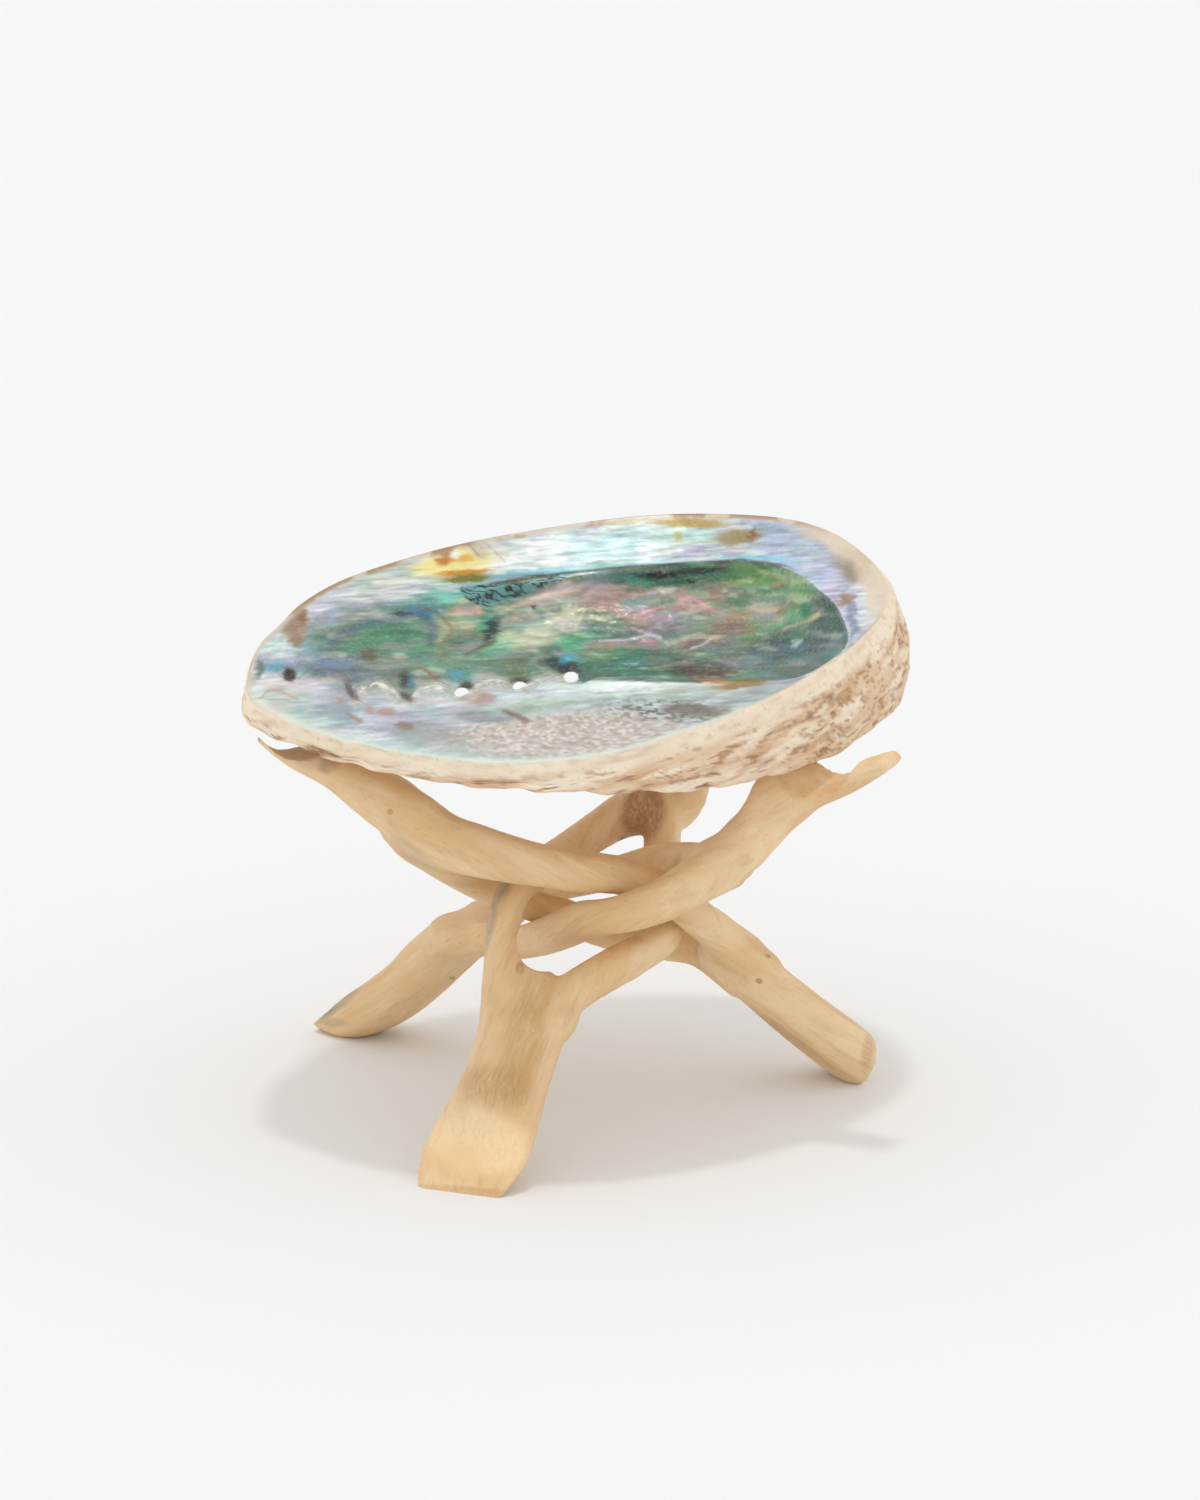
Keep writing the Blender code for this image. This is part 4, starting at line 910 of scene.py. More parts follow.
def stippled_area(colour, x, y):
    """The rough silvery patch of the near shelf, whose light grains are painted glints, with dark flecks at
    its right end.
    """
    ground, light, dark = STIPPLE_TONES
    patch = blob(x, y, STIPPLED_PATCH, 0.12)
    patch = patch * smooth_step(-4.0, 4.0, y - np.interp(x, STIPPLE_TOP_X, STIPPLE_TOP_Y))
    grains = fractal(x * 0.5, y * 0.75, 111, 2)
    colour = mix(colour, ground, patch * 0.8)
    # Painted glints: the light grains of the rough patch.
    colour = mix(colour, light, patch * smooth_step(0.56, 0.7, grains) * 0.7)
    colour = mix(colour, dark, patch * smooth_step(0.44, 0.3, grains) * 0.6)
    flecks = smooth_step(0.5, 0.58, fractal(x * 0.22, y * 0.45, 123, 3))
    return mix(colour, FLECK_COLOUR, blob(x, y, FLECK_PATCH, 0.2) * flecks * 0.9)


def leaf_lines(colour, x, y):
    """Fine black growth lines on the small leaf-shaped patch, and the painted shade line under the overhang
    of the step.
    """
    top = np.interp(x, LEAF_TOP_X, LEAF_TOP_Y)
    bottom = np.interp(x, LEAF_BOTTOM_X, LEAF_BOTTOM_Y)
    inside = smooth_step(0.0, 2.0, y - top) * smooth_step(0.0, 2.0, bottom - y)
    inside = inside * smooth_step(456, 462, x) * smooth_step(572, 560, x)
    share = (y - top) / np.maximum(bottom - top, 1.0)
    colour = mix(colour, LEAF_COLOUR, inside * 0.75)
    lines = 0.5 + 0.5 * np.sin(share * 26.0 + 14.0 * fractal(x * 0.1, y * 0.2, 333, 3))
    colour = mix(colour, LEAF_LINE_COLOUR, inside * smooth_step(0.55, 0.85, lines) * 0.9)
    # Painted shade: a dark line under the overhanging edge of the step.
    step = y - np.interp(x, STEP_LINE_X, STEP_LINE_Y)
    dark = smooth_step(470, 500, x) * smooth_step(800, 776, x) * np.exp(-(step / 1.6) ** 2)
    return mix(colour, STEP_SHADE_COLOUR, dark * 0.7)


def rim_colours(colour, x, y, rim_gap):
    """The lip where the inside meets the crust: cream, pale green near by, broad at the far right and
    brown in stretches along the far side; rim_gap is in millimetres."""
    edge = smooth_step(1.6, 0.3, rim_gap)
    tone = fractal(x * 0.05, y * 0.05, 141, 3)
    colour = mix(colour, LIP_CREAM, edge * 0.85)
    near = smooth_step(690.0, 720.0, y) * smooth_step(4.5, 0.6, rim_gap)
    colour = mix(colour, LIP_NEAR, near * 0.75)
    far = smooth_step(640.0, 600.0, y)
    right = smooth_step(770.0, 830.0, x) * far
    broad = right * smooth_step(5.0, 2.4, rim_gap + 3.0 * (tone - 0.5))
    colour = mix(colour, LIP_RIGHT, broad * 0.85)
    brown = far * smooth_step(0.46, 0.58, tone) * (1.0 - 0.8 * right)
    return mix(colour, LIP_BROWN, edge * brown * 0.65)


def crust_colours(depth, pits, arc):
    """Screen colours of the outside: worn peach-cream layers with brown pits."""
    slope = depth + 0.12 * arc
    tone = fractal(arc * 0.12, slope * 0.55, 201, 5)
    colour = two_tones((CRUST_CREAM, CRUST_PALE), smooth_step(0.48, 0.62, tone))
    colour = mix(colour, CRUST_PEACH, smooth_step(0.48, 0.36, tone) * 0.55)
    stain = fractal(arc * 0.16, slope * 0.8, 215, 5)
    colour = mix(colour, CRUST_STAIN, smooth_step(0.56, 0.68, stain) * 0.5)
    specks = fractal(arc * 0.5, slope * 1.6, 229, 3)
    colour = mix(colour, CRUST_SPECK, smooth_step(0.60, 0.72, specks) * 0.65)
    return mix(colour, CRUST_PIT, pits * 0.5)


# Mesh of the shell
def relief_of_nacre(x, y, t, rim_gap):
    """Extra depth, in millimetres, of the wrinkled muscle scar, folds and fine growth ridges."""
    ridged = 1.0 - np.abs(2.0 * fractal(x * 0.028, y * 0.085, 61, 4) - 1.0)
    inside = smooth_step(1.0, 0.85, t)
    depth = inside * blob(x, y, SCAR_PATCH, 0.15) * (0.9 * (0.8 - ridged))
    depth += inside * 0.25 * (fractal(x * 0.06, y * 0.15, 71, 3) - 0.5)
    fade = np.clip(rim_gap / 3.0, 0.0, 1.0)
    depth += (1.0 - inside) * fade * 0.35 * (fractal(x * 0.03, y * 0.08, 81, 3) - 0.5)
    grain = blob(x, y, STIPPLED_PATCH, 0.12) * fade
    depth += grain * 0.25 * (fractal(x * 0.35, y * 0.5, 111, 2) - 0.5)
    for points, width, _, _, height in LINES:
        if height != 0.0:
            depth -= height * np.exp(-(line_distance(x, y, points) / (width + 2.5)) ** 2)
    depth -= 1.2 * blob(x, y, DIMPLE_PATCH, 0.4)
    for points in ROPES:
        gap = line_distance(x, y, points)
        hump = np.exp(-(gap / 6.0) ** 2)
        depth -= 0.9 * hump - 0.10 * hump * np.sin(gap * 1.6)
    for mark, drop in FUNNELS:
        depth += drop * blob(x, y, mark, 0.35)
    return depth


def shell_rings(directions):
    """Rings of the inside, from the bowl's middle to the rim, then of the outside, from the lip to the
    lowest point: each has its points and its screen colours."""
    rim = rim_radius(directions)
    inside = []
    for u, v, depth, t, b in inside_rings(directions):
        gap = rim - np.hypot(u - BOWL_CENTRE[0], v - BOWL_CENTRE[1])
        x, y = photo_pixels(to_world(u, v, depth))
        world = to_world(u, v, depth + relief_of_nacre(x, y, t, gap))
        x, y = photo_pixels(world)
        inside.append((world, rim_colours(nacre_colours(x, y, u, v, b), x, y, gap)))
    arc = directions * 1.1
    outside = []
    for u, v, depth in reversed(outside_rings(directions)):
        radius = np.hypot(u - BOWL_CENTRE[0], v - BOWL_CENTRE[1])
        colour = crust_colours(depth, pit_share(directions, depth, radius), arc)
        lip = smooth_step(1.2, -1.2, depth - around(LIP_DEPTH, directions))
        lip = lip * (0.5 + 0.5 * fractal(arc * 0.3, depth * 1.2, 251, 3))
        outside.append((to_world(u, v, depth), mix(colour, CRUST_LIP, lip)))
    return inside, outside


def pit_share(directions, depth, radius):
    arc = np.radians(directions) * 62.0
    pits = fractal(arc * 0.2, (depth + 0.12 * arc) * 0.9 + radius * 0.3, 31, 4)
    return smooth_step(0.64, 0.74, pits)


def link_mesh(name, vertices, faces, materials):
    data = bpy.data.meshes.new(name)
    data.from_pydata(vertices, [], faces)
    for material in materials:
        data.materials.append(material)
    data.validate()
    mesh = bmesh.new()
    mesh.from_mesh(data)
    bmesh.ops.recalc_face_normals(mesh, faces=mesh.faces)
    mesh.to_mesh(data)
    mesh.free()
    data.shade_smooth()
    thing = bpy.data.objects.new(name, data)
    bpy.context.scene.collection.objects.link(thing)
    return thing


def ring_surface(rings, first, last):
    """Vertices and faces of rings joined in order and closed by a point at each end."""
    count = len(rings[0])
    vertices = [first]
    faces = []
    for ring in rings:
        vertices.extend(map(tuple, ring))
    vertices.append(last)
    start = 1
    for i in range(count):
        faces.append((0, start + i, start + (i + 1) % count))
    for k in range(len(rings) - 1):
        a = 1 + k * count
        b = a + count
        for i in range(count):
            j = (i + 1) % count
            faces.append((a + i, b + i, b + j, a + j))
    end = len(vertices) - 1
    a = end - count
    for i in range(count):
        faces.append((a + i, end, a + (i + 1) % count))
    return vertices, faces


def add_modifier_and_apply(thing, kind, **settings):
    """Add one modifier, set it, and keep its result as the object's mesh."""
    modifier = thing.modifiers.new(kind.title(), kind)
    for key, value in settings.items():
        setattr(modifier, key, value)
    depsgraph = bpy.context.evaluated_depsgraph_get()
    result = bpy.data.meshes.new_from_object(thing.evaluated_get(depsgraph))
    thing.modifiers.clear()
    old = thing.data
    thing.data = result
    bpy.data.meshes.remove(old)


def cut(thing, cutter):
    add_modifier_and_apply(thing, "BOOLEAN", operation="DIFFERENCE", solver="EXACT", object=cutter)
    bpy.data.objects.remove(cutter, do_unlink=True)


def finish_object(name, mesh, material):
    bmesh.ops.recalc_face_normals(mesh, faces=mesh.faces)
    data = bpy.data.meshes.new(name)
    mesh.to_mesh(data)
    mesh.free()
    if material is not None:
        data.materials.append(material)
    data.shade_smooth()
    thing = bpy.data.objects.new(name, data)
    bpy.context.scene.collection.objects.link(thing)
    return thing


def cylinder(name, matrix, radius, length, sides):
    mesh = bmesh.new()
    bmesh.ops.create_cone(mesh, cap_ends=True, segments=sides, radius1=radius * MM, radius2=radius * MM,
                          depth=length * MM, matrix=matrix)
    return finish_object(name, mesh, None)


def sight_bar(name, x, y, target, half_width, half_height, length):
    """An oval bar along the line of sight of a point of the picture, with its middle beside the target."""
    place, forward, up = camera_frame()
    right = Vector((1.0, 0.0, 0.0))
    sideways = (x - IMAGE_SIZE[0] / 2) / FOCAL_PIXELS
    downwards = (y - IMAGE_SIZE[1] / 2) / FOCAL_PIXELS
    sight = (forward + right * sideways - up * downwards).normalized()
    centre = place + sight * (target - place).dot(sight)
    rise = right.cross(sight).normalized()
    across = sight.cross(rise).normalized()
    turn = Matrix((across, rise, sight)).transposed().to_4x4()
    oval = Matrix.Diagonal((half_width, half_height, 1.0, 1.0))
    return cylinder(name, Matrix.Translation(centre) @ turn @ oval, 1.0, length, 24)


def store_colours(data, name, colours):
    layer = data.attributes.new(name, "FLOAT_COLOR", "POINT")
    values = np.ones((len(colours), 4), np.float32)
    values[:, :3] = colours
    layer.data.foreach_set("color", values.ravel())


def screen_to_linear(colours):
    c = np.clip(colours / 255.0, 0.0, 1.0)
    return np.where(c <= 0.04045, c / 12.92, ((c + 0.055) / 1.055) ** 2.4)


def make_shell(nacre, crust):
    inside, outside = shell_rings(np.arange(SPOKES) * 360.0 / SPOKES)
    rings = inside + outside
    top = rings[0][0].mean(axis=0)
    vertices, faces = ring_surface([ring[0] for ring in rings], tuple(top), under_shell(WALL))
    shell = link_mesh("shell_body", vertices, faces, [nacre, crust])
    colours = [rings[0][1].mean(axis=0)[None]] + [ring[1] for ring in rings]
    colours.append(rings[-1][1].mean(axis=0)[None])
    store_colours(shell.data, "tint", screen_to_linear(np.vstack(colours)))
    kinds = np.ones(len(faces), np.int32)
    kinds[:SPOKES * len(inside)] = 0
    shell.data.polygons.foreach_set("material_index", kinds)
    for x, y, middle in OPEN_HOLES:
        target = shell_matrix() @ (Vector(middle) * MM)
        cut(shell, sight_bar("hole", x, y, target, HOLE_HALF_WIDTH, HOLE_HALF_HEIGHT, HOLE_LENGTH))
    fill_new_colours(shell.data)
    return shell


def under_shell(below):
    """The point this far below the bowl's deepest point, in the part's frame."""
    middle = np.array([BOWL_CENTRE[0]]), np.array([BOWL_CENTRE[1]])
    return tuple(to_world(*middle, np.array([BOWL_DEPTH + below]))[0])


def fill_new_colours(data):
    """The walls of the cut holes get one plain colour."""
    values = np.empty(len(data.vertices) * 4, np.float32)
    layer = data.attributes["tint"].data
    layer.foreach_get("color", values)
    values = values.reshape(-1, 4)
    values[values[:, :3].sum(axis=1) < 1e-4] = (*srgb(*HOLE_WALL), 1.0)
    layer.foreach_set("color", values.ravel())


# Meshes of the legs
def leg_axis(name):
    """Plan position of a leg's foot, its direction and the direction to its left."""
    foot = Vector(LEG_FOOT[name])
    along = (Vector(LEG_HEAD[name]) - foot).normalized()
    left = Vector((-along.y, along.x))
    return foot, along, left


def leg_point(name, s, n, z):
    foot, along, left = leg_axis(name)
    plan = foot + along * (s + FOOT_STATION) + left * n
    return Vector((plan.x + SHIFT[0], plan.y + SHIFT[1], z + SHIFT[2]))


def leg_coordinates(name, points):
    """The s, n, z of points given in metres in the part's frame."""
    foot, along, left = leg_axis(name)
    px = points[:, 0] / MM - SHIFT[0] - foot.x
    py = points[:, 1] / MM - SHIFT[1] - foot.y
    s = px * along.x + py * along.y - FOOT_STATION
    n = px * left.x + py * left.y
    return np.stack([s, n, points[:, 2] / MM], axis=1)


def smooth_stations(stations):
    """Catmull-Rom curve through the stations, all columns at once."""
    rows = np.array(stations, float)
    ends = np.vstack([2 * rows[0] - rows[1], rows, 2 * rows[-1] - rows[-2]])
    curve = []
    for i in range(1, len(ends) - 2):
        p0, p1, p2, p3 = ends[i - 1], ends[i], ends[i + 1], ends[i + 2]
        for k in range(SPAN_STEPS):
            t = k / SPAN_STEPS
            curve.append(0.5 * (2 * p1 + (p2 - p0) * t + (2 * p0 - 5 * p1 + 4 * p2 - p3) * t ** 2
                                + (3 * p1 - p0 - 3 * p2 + p3) * t ** 3))
    curve.append(ends[-2])
    return np.array(curve)


def bridge(mesh, ring_a, ring_b):
    count = len(ring_a)
    for i in range(count):
        j = (i + 1) % count
        mesh.faces.new((ring_a[i], ring_a[j], ring_b[j], ring_b[i]))


def add_tube(mesh, name, stations):
    """A closed bar whose section is a rounded rectangle, along the stations."""
    rows = smooth_stations(stations)
    middles = [leg_point(name, r[0], r[1], r[2]) for r in rows]
    rings = []
    for i, row in enumerate(rows):
        before = middles[max(i - 1, 0)]
        after = middles[min(i + 1, len(rows) - 1)]
        forward = (after - before).normalized()
        side = Vector((0.0, 0.0, 1.0)).cross(forward).normalized()
        up = forward.cross(side).normalized()
        ring = []
        for k in range(TUBE_SIDES):
            angle = 2 * pi * k / TUBE_SIDES
            x = abs(cos(angle)) ** (2 / TUBE_SQUARENESS) * (1 if cos(angle) >= 0 else -1)
            y = abs(sin(angle)) ** (2 / TUBE_SQUARENESS) * (1 if sin(angle) >= 0 else -1)
            ring.append(mesh.verts.new((middles[i] + side * (x * row[3]) + up * (y * row[4])) * MM))
        rings.append(ring)
    for ring_a, ring_b in zip(rings, rings[1:]):
        bridge(mesh, ring_a, ring_b)
    mesh.faces.new(list(reversed(rings[0])))
    mesh.faces.new(rings[-1])


def toe_block(name):
    """Everything beyond the worn end face of the toe."""
    (s0, z0), (s1, z1) = TOE[name]
    run = Vector((s1 - s0, z1 - z0)).normalized()
    out = Vector((-run.y, run.x))
    half = TOE_BLOCK / 2
    mesh = bmesh.new()
    corners = []
    for along, beyond in ((-half, 0.0), (half, 0.0), (half, half), (-half, half)):
        s = s0 + run.x * along + out.x * beyond
        z = z0 + run.y * along + out.y * beyond
        corners.append([mesh.verts.new(leg_point(name, s, n, z) * MM) for n in (-half, half)])
    for first, second in zip(corners, corners[1:] + corners[:1]):
        mesh.faces.new((first[0], second[0], second[1], first[1]))
    mesh.faces.new([pair[0] for pair in reversed(corners)])
    mesh.faces.new([pair[1] for pair in corners])
    return finish_object("toe_block", mesh, None)


def floor_block():
    """Everything below the floor, in metres, so that the soles are flat."""
    mesh = bmesh.new()
    bmesh.ops.create_cube(mesh, size=FLOOR_BLOCK, matrix=Matrix.Translation((0.0, 0.0, -FLOOR_BLOCK / 2)))
    return finish_object("floor_block", mesh, None)


def make_seat_cutter():
    """The outside of the shell grown by the seat gap, closed above."""
    directions = np.arange(SEAT_SPOKES) * 360.0 / SEAT_SPOKES
    grown = outside_rings(directions, 16, 8, SEAT_GAP + CRUST_ALLOWANCE)
    rings = [to_world(u, v, depth) for u, v, depth in grown]
    vertices, faces = ring_surface(rings, under_shell(WALL + SEAT_GAP), under_shell(-BOWL_DEPTH - 12.0))
    cutter = link_mesh("seat_cutter", vertices, faces, [])
    cutter.hide_render = True
    return cutter


def read_vectors(data, field):
    """Places or normals of all vertices, as one array."""
    values = np.empty(len(data.vertices) * 3, np.float32)
    data.vertices.foreach_get(field, values)
    return values.reshape(-1, 3)


def store_vectors(data, name, vectors):
    layer = data.attributes.new(name, "FLOAT_VECTOR", "POINT")
    layer.data.foreach_set("vector", vectors.astype(np.float32).ravel())


def carve_undulation(leg, name):
    """Shallow knife facets and hollows along the carved wood."""
    points = read_vectors(leg.data, "co").astype(float)
    s, n, z = leg_coordinates(name, points).T
    seed = WOOD_SEED[name]
    field = fractal(s * 0.09 + 50.0, (n * 0.7 + z * 0.5) * 0.12 + 50.0, seed, 3) - 0.55
    fine = fractal(s * 0.2 + 90.0, (n - z) * 0.9 + 90.0, seed + 7, 2) - 0.5
    moved = points + read_vectors(leg.data, "normal") * ((0.5 * field + 0.10 * fine) * MM)[:, None]
    leg.data.vertices.foreach_set("co", moved.ravel())
    leg.data.update()


def smooth_remesh(leg):
    add_modifier_and_apply(leg, "REMESH", mode="VOXEL", voxel_size=LEG_VOXEL * MM, adaptivity=0.0)
    add_modifier_and_apply(leg, "SMOOTH", factor=0.5, iterations=SMOOTH_ROUNDS)


def leg_bars(name, material):
    """The foot, the two strands round the eye and the head, as bars that run into each other."""
    foot = FOOT[name]
    head = HEAD[name]
    left = LEFT_STRAND[name]
    mesh = bmesh.new()
    add_tube(mesh, name, foot + [left[0]])
    add_tube(mesh, name, [foot[-2]] + left + head[:2])
    add_tube(mesh, name, [foot[-2]] + RIGHT_STRAND[name] + head[:2])
    add_tube(mesh, name, [left[-1]] + head)
    return finish_object(name + "_wood", mesh, material)


def scoop_cutter(name):
    s, z, radius, climb = SCOOP[name]
    _, _, left = leg_axis(name)
    axis = Vector((left.x, left.y, climb))
    turn = Vector((0.0, 0.0, 1.0)).rotation_difference(axis).to_matrix().to_4x4()
    place = Matrix.Translation(leg_point(name, s, 0.0, z) * MM) @ turn
    return cylinder("scoop", place, radius, SCOOP_LENGTH, 48)


def eye_cutter(name):
    x, y, half_width, half_height, station = EYE_BOTTOM[name]
    target = leg_point(name, *station) * MM
    return sight_bar("eye", x, y, target, half_width, half_height, EYE_BAR_LENGTH)


def store_wood_places(data, name):
    """For the shader: places along and across the grain, and places in the picture."""
    points = read_vectors(data, "co").astype(float)
    s, n, z = leg_coordinates(name, points).T
    rise = radians(WOOD_RISE)
    along = s * cos(rise) + z * sin(rise)
    across = z * cos(rise) - s * sin(rise)
    store_vectors(data, "grain", np.stack([along, n, across], axis=1))
    x, y = photo_pixels(points)
    store_vectors(data, "spot", np.stack([x, y, np.zeros_like(x)], axis=1))


def make_leg(name, material, seat):
    leg = leg_bars(name, material)
    smooth_remesh(leg)
    cut(leg, scoop_cutter(name))
    if name in TOE:
        cut(leg, toe_block(name))
    if name in EYE_BOTTOM:
        cut(leg, eye_cutter(name))
    smooth_remesh(leg)
    carve_undulation(leg, name)
    cut(leg, floor_block())
    keep_seat = seat.copy()
    bpy.context.scene.collection.objects.link(keep_seat)
    cut(leg, keep_seat)
    leg.data.shade_smooth()
    leg.data.set_sharp_from_angle(angle=radians(SHARP_ANGLE))
    store_wood_places(leg.data, name)
    return leg


# Materials
class Nodes:
    """A few short ways to add and join shader nodes."""

    def __init__(self, name):
        self.material = bpy.data.materials.new(name)
        self.material.use_nodes = True
        self.tree = self.material.node_tree
        self.shader = self.tree.nodes["Principled BSDF"]

    def add(self, kind, **settings):
        node = self.tree.nodes.new(kind)
        for key, value in settings.items():
            setattr(node, key, value)
        return node

    def join(self, source, target):
        self.tree.links.new(source, target)

    def attribute(self, name, output="Vector"):
        return self.add("ShaderNodeAttribute", attribute_name=name).outputs[output]

    def scaled(self, vector, scale):
        node = self.add("ShaderNodeMapping")
        node.inputs["Scale"].default_value = scale
        self.join(vector, node.inputs["Vector"])
        return node.outputs["Vector"]

    def noise(self, vector, scale, detail=4.0, rough=0.55, distortion=0.0):
        node = self.add("ShaderNodeTexNoise")
        node.inputs["Scale"].default_value = scale
        node.inputs["Detail"].default_value = detail
        node.inputs["Roughness"].default_value = rough
        node.inputs["Distortion"].default_value = distortion
        self.join(vector, node.inputs["Vector"])
        return node.outputs["Fac"]

    def ramp(self, value, low, high, start=0.0, end=1.0):
        node = self.add("ShaderNodeMapRange", interpolation_type="SMOOTHSTEP")
        node.inputs["From Min"].default_value = low
        node.inputs["From Max"].default_value = high
        node.inputs["To Min"].default_value = start
        node.inputs["To Max"].default_value = end
        self.join(value, node.inputs["Value"])
        return node.outputs["Result"]

    def times(self, a, b):
        node = self.add("ShaderNodeMath", operation="MULTIPLY")
        self.join(a, node.inputs[0])
        if isinstance(b, float):
            node.inputs[1].default_value = b
        else:
            self.join(b, node.inputs[1])
        return node.outputs[0]

    def blend(self, share, a, b, mode="MIX"):
        node = self.add("ShaderNodeMix", data_type="RGBA", blend_type=mode)
        sockets = [s for s in node.inputs if s.type == "RGBA"]
        if isinstance(share, float):
            node.inputs[0].default_value = share
        else:
            self.join(share, node.inputs[0])
        for value, socket in ((a, sockets[0]), (b, sockets[1])):
            if isinstance(value, tuple):
                socket.default_value = (*value, 1.0)
            else:
                self.join(value, socket)
        return [s for s in node.outputs if s.type == "RGBA"][0]

    def bump(self, height, strength, distance):
        node = self.add("ShaderNodeBump")
        node.inputs["Strength"].default_value = strength
        node.inputs["Distance"].default_value = distance
        self.join(height, node.inputs["Height"])
        self.join(node.outputs["Normal"], self.shader.inputs["Normal"])

    def spot(self, spot, mark, soft):
        """1 inside a tilted ellipse of the picture and 0 outside."""
        cx, cy, rx, ry, turn = mark
        node = self.add("ShaderNodeMapping", vector_type="TEXTURE")
        node.inputs["Location"].default_value = (cx, cy, 0.0)
        node.inputs["Rotation"].default_value = (0.0, 0.0, radians(turn))
        node.inputs["Scale"].default_value = (rx, ry, 1.0)
        self.join(spot, node.inputs["Vector"])
        length = self.add("ShaderNodeVectorMath", operation="LENGTH")
        self.join(node.outputs["Vector"], length.inputs[0])
        return self.ramp(length.outputs["Value"], 1.0 + soft, 1.0 - soft)


def object_place(nodes):
    return nodes.add("ShaderNodeTexCoord").outputs["Object"]


def nacre_material():
    nodes = Nodes("nacre")
    tint = nodes.attribute("tint", "Color")
    place = object_place(nodes)
    fine = nodes.noise(nodes.scaled(place, (1.0, 1.0, 2.5)), 900.0, 4.0, 0.6)
    wide = nodes.noise(nodes.scaled(place, (1.0, 1.0, 2.0)), 160.0, 5.0, 0.6, 0.8)
    colour = nodes.blend(nodes.ramp(fine, 0.5, 0.7, 0.0, 0.12), tint, NACRE_BLOOM)
    colour = nodes.blend(nodes.ramp(wide, 0.5, 0.3, 0.0, 0.12), colour, NACRE_DULL, "MULTIPLY")
    nodes.join(colour, nodes.shader.inputs["Base Color"])
    nodes.join(nodes.ramp(wide, 0.3, 0.7, 0.34, 0.5), nodes.shader.inputs["Roughness"])
    nodes.shader.inputs["Metallic"].default_value = NACRE_METALLIC
    nodes.shader.inputs["Coat Weight"].default_value = NACRE_COAT
    nodes.shader.inputs["Coat Roughness"].default_value = NACRE_COAT_ROUGHNESS
    nodes.bump(nodes.blend(0.35, wide, fine), 0.15, 0.0006)
    return nodes.material


def crust_material():
    nodes = Nodes("crust")
    tint = nodes.attribute("tint", "Color")
    place = object_place(nodes)
    grain = nodes.noise(place, 700.0, 6.0, 0.7)
    lumps = nodes.noise(place, 220.0, 5.0, 0.6)
    colour = nodes.blend(nodes.ramp(grain, 0.58, 0.72, 0.0, 0.5), tint, srgb(*CRUST_GRAIN))
    colour = nodes.blend(nodes.ramp(lumps, 0.55, 0.7, 0.0, 0.5), colour, srgb(*CRUST_LIGHT))
    nodes.join(colour, nodes.shader.inputs["Base Color"])
    nodes.shader.inputs["Roughness"].default_value = CRUST_ROUGHNESS
    nodes.bump(nodes.blend(0.5, lumps, grain), 0.7, 0.0012)
    return nodes.material


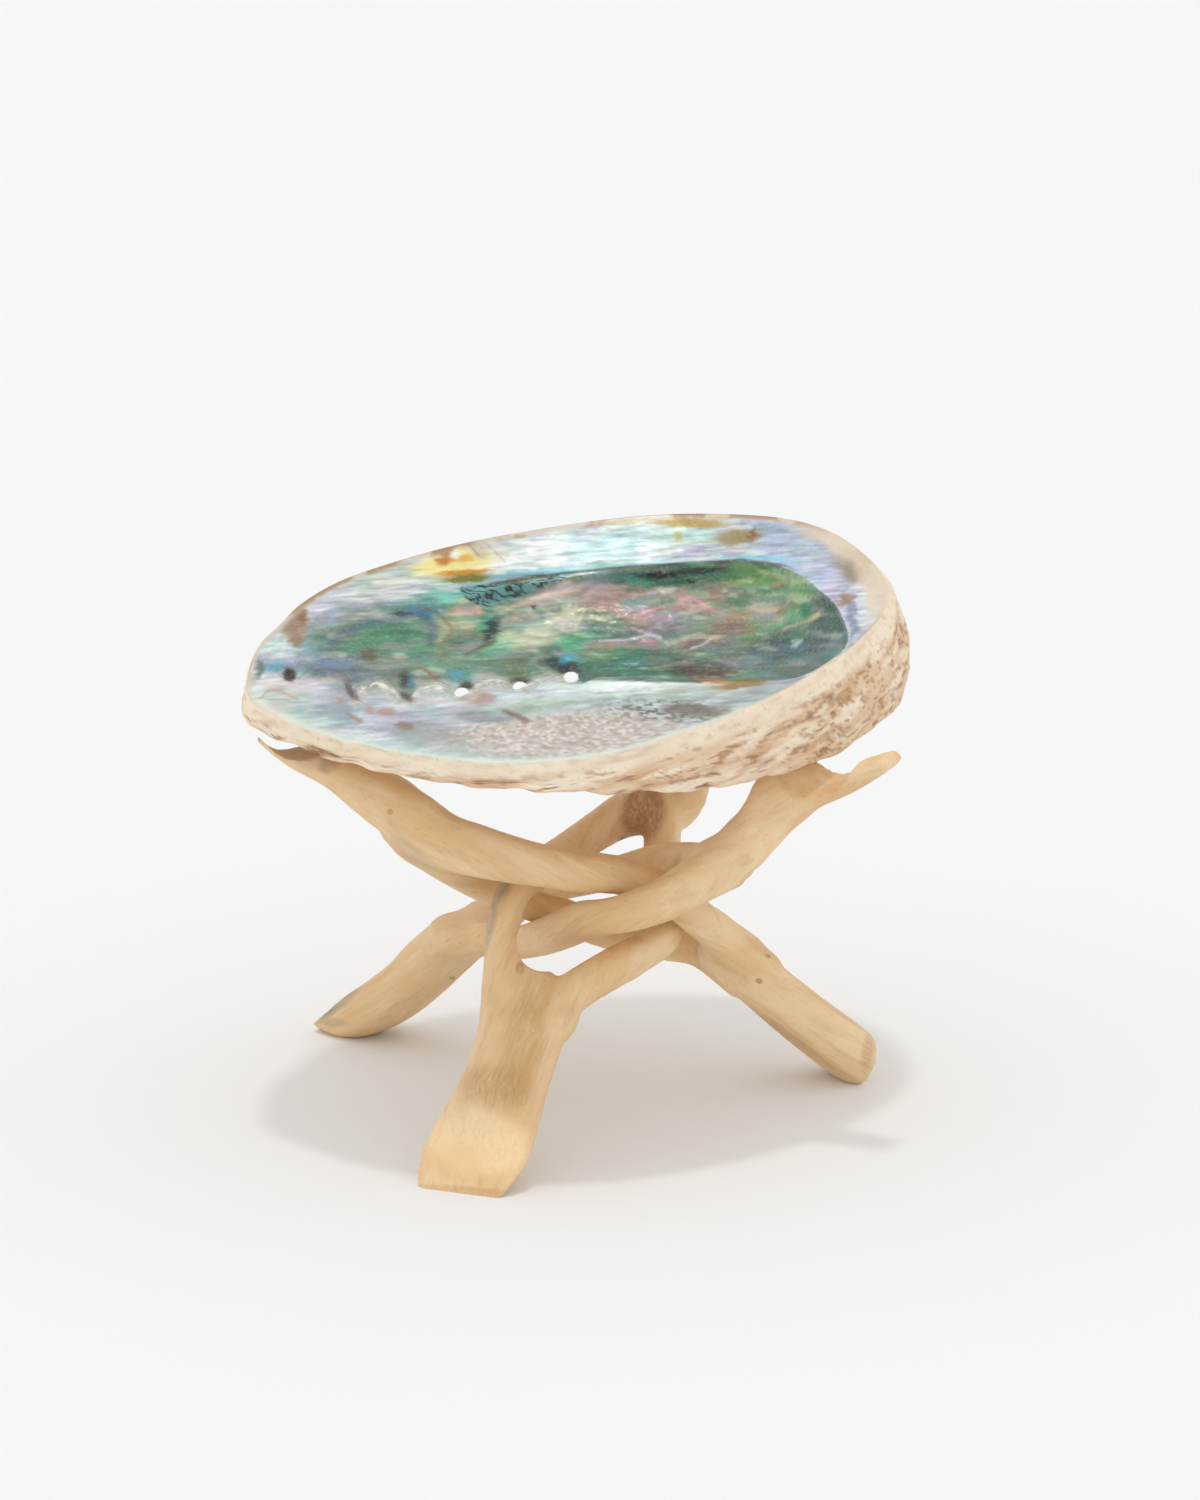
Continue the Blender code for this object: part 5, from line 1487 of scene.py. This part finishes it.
def wood_material(name):
    nodes = Nodes(name + "_wood")
    grain = nodes.attribute("grain")
    along = nodes.scaled(grain, (0.010, 0.12, 0.12))
    wide = nodes.scaled(grain, (0.03, 0.09, 0.09))
    streak = nodes.noise(along, 3.0, 6.0, 0.6, 0.3)
    fine = nodes.noise(along, 14.0, 5.0, 0.6, 0.1)
    cloud = nodes.noise(wide, 1.0, 4.0, 0.55, 0.4)
    colour = nodes.blend(nodes.ramp(cloud, 0.35, 0.65), srgb(*WOOD_PALE), srgb(*WOOD_WARM))
    colour = nodes.blend(nodes.ramp(streak, 0.48, 0.72, 0.0, 0.45), colour, srgb(*WOOD_STREAK))
    colour = nodes.blend(nodes.ramp(fine, 0.55, 0.78, 0.0, 0.4), colour, srgb(*WOOD_FINE))
    colour = nodes.blend(nodes.ramp(streak, 0.42, 0.3, 0.0, 0.5), colour, srgb(*WOOD_LIGHT))
    spot = nodes.attribute("spot")
    for mark, rgb, soft, strength in WOOD_MARKS[name]:
        share = nodes.times(nodes.spot(spot, mark, soft), strength)
        share = nodes.times(share, nodes.ramp(fine, 0.3, 0.6, 0.5, 1.0))
        colour = nodes.blend(share, colour, srgb(*rgb))
    nodes.join(colour, nodes.shader.inputs["Base Color"])
    nodes.shader.inputs["Roughness"].default_value = WOOD_ROUGHNESS
    nodes.bump(nodes.blend(0.5, streak, fine), 0.3, 0.0006)
    return nodes.material


# Floor and light
def make_floor():
    mesh = bmesh.new()
    bmesh.ops.create_grid(mesh, x_segments=1, y_segments=1, size=FLOOR_HALF_SIZE)
    nodes = Nodes("paper")
    tone = nodes.ramp(nodes.noise(object_place(nodes), 3.0, 3.0), 0.3, 0.7)
    nodes.join(nodes.blend(tone, FLOOR_TONE, FLOOR_TONE_LIGHT), nodes.shader.inputs["Base Color"])
    nodes.shader.inputs["Roughness"].default_value = FLOOR_ROUGHNESS
    nodes.shader.inputs["Specular IOR Level"].default_value = FLOOR_SPECULAR
    return finish_object("floor", mesh, nodes.material)


def make_sun():
    data = bpy.data.lights.new("overhead", "SUN")
    data.energy = SUN_STRENGTH
    data.angle = radians(SUN_ANGLE)
    data.color = SUN_COLOUR
    light = bpy.data.objects.new("overhead", data)
    light.rotation_euler = Vector(SUN_DIRECTION).to_track_quat("-Z", "Y").to_euler()
    bpy.context.scene.collection.objects.link(light)


def make_world():
    world = bpy.data.worlds.new("world")
    world.use_nodes = True
    background = world.node_tree.nodes["Background"]
    background.inputs["Color"].default_value = (1.0, 1.0, 1.0, 1.0)
    background.inputs["Strength"].default_value = WORLD_STRENGTH
    bpy.context.scene.world = world
    bpy.context.scene.view_settings.view_transform = "Standard"


def main():
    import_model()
    floor = make_floor()
    shell = make_shell(nacre_material(), crust_material())
    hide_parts("shell")
    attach(shell, "root")
    seat = make_seat_cutter()
    for name in LEG_FOOT:
        leg = make_leg(name, wood_material(name), seat)
        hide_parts(name)
        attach(leg, "root")
    bpy.data.objects.remove(seat, do_unlink=True)
    make_camera()
    make_world()
    make_sun()
    bpy.context.view_layer.update()


main()
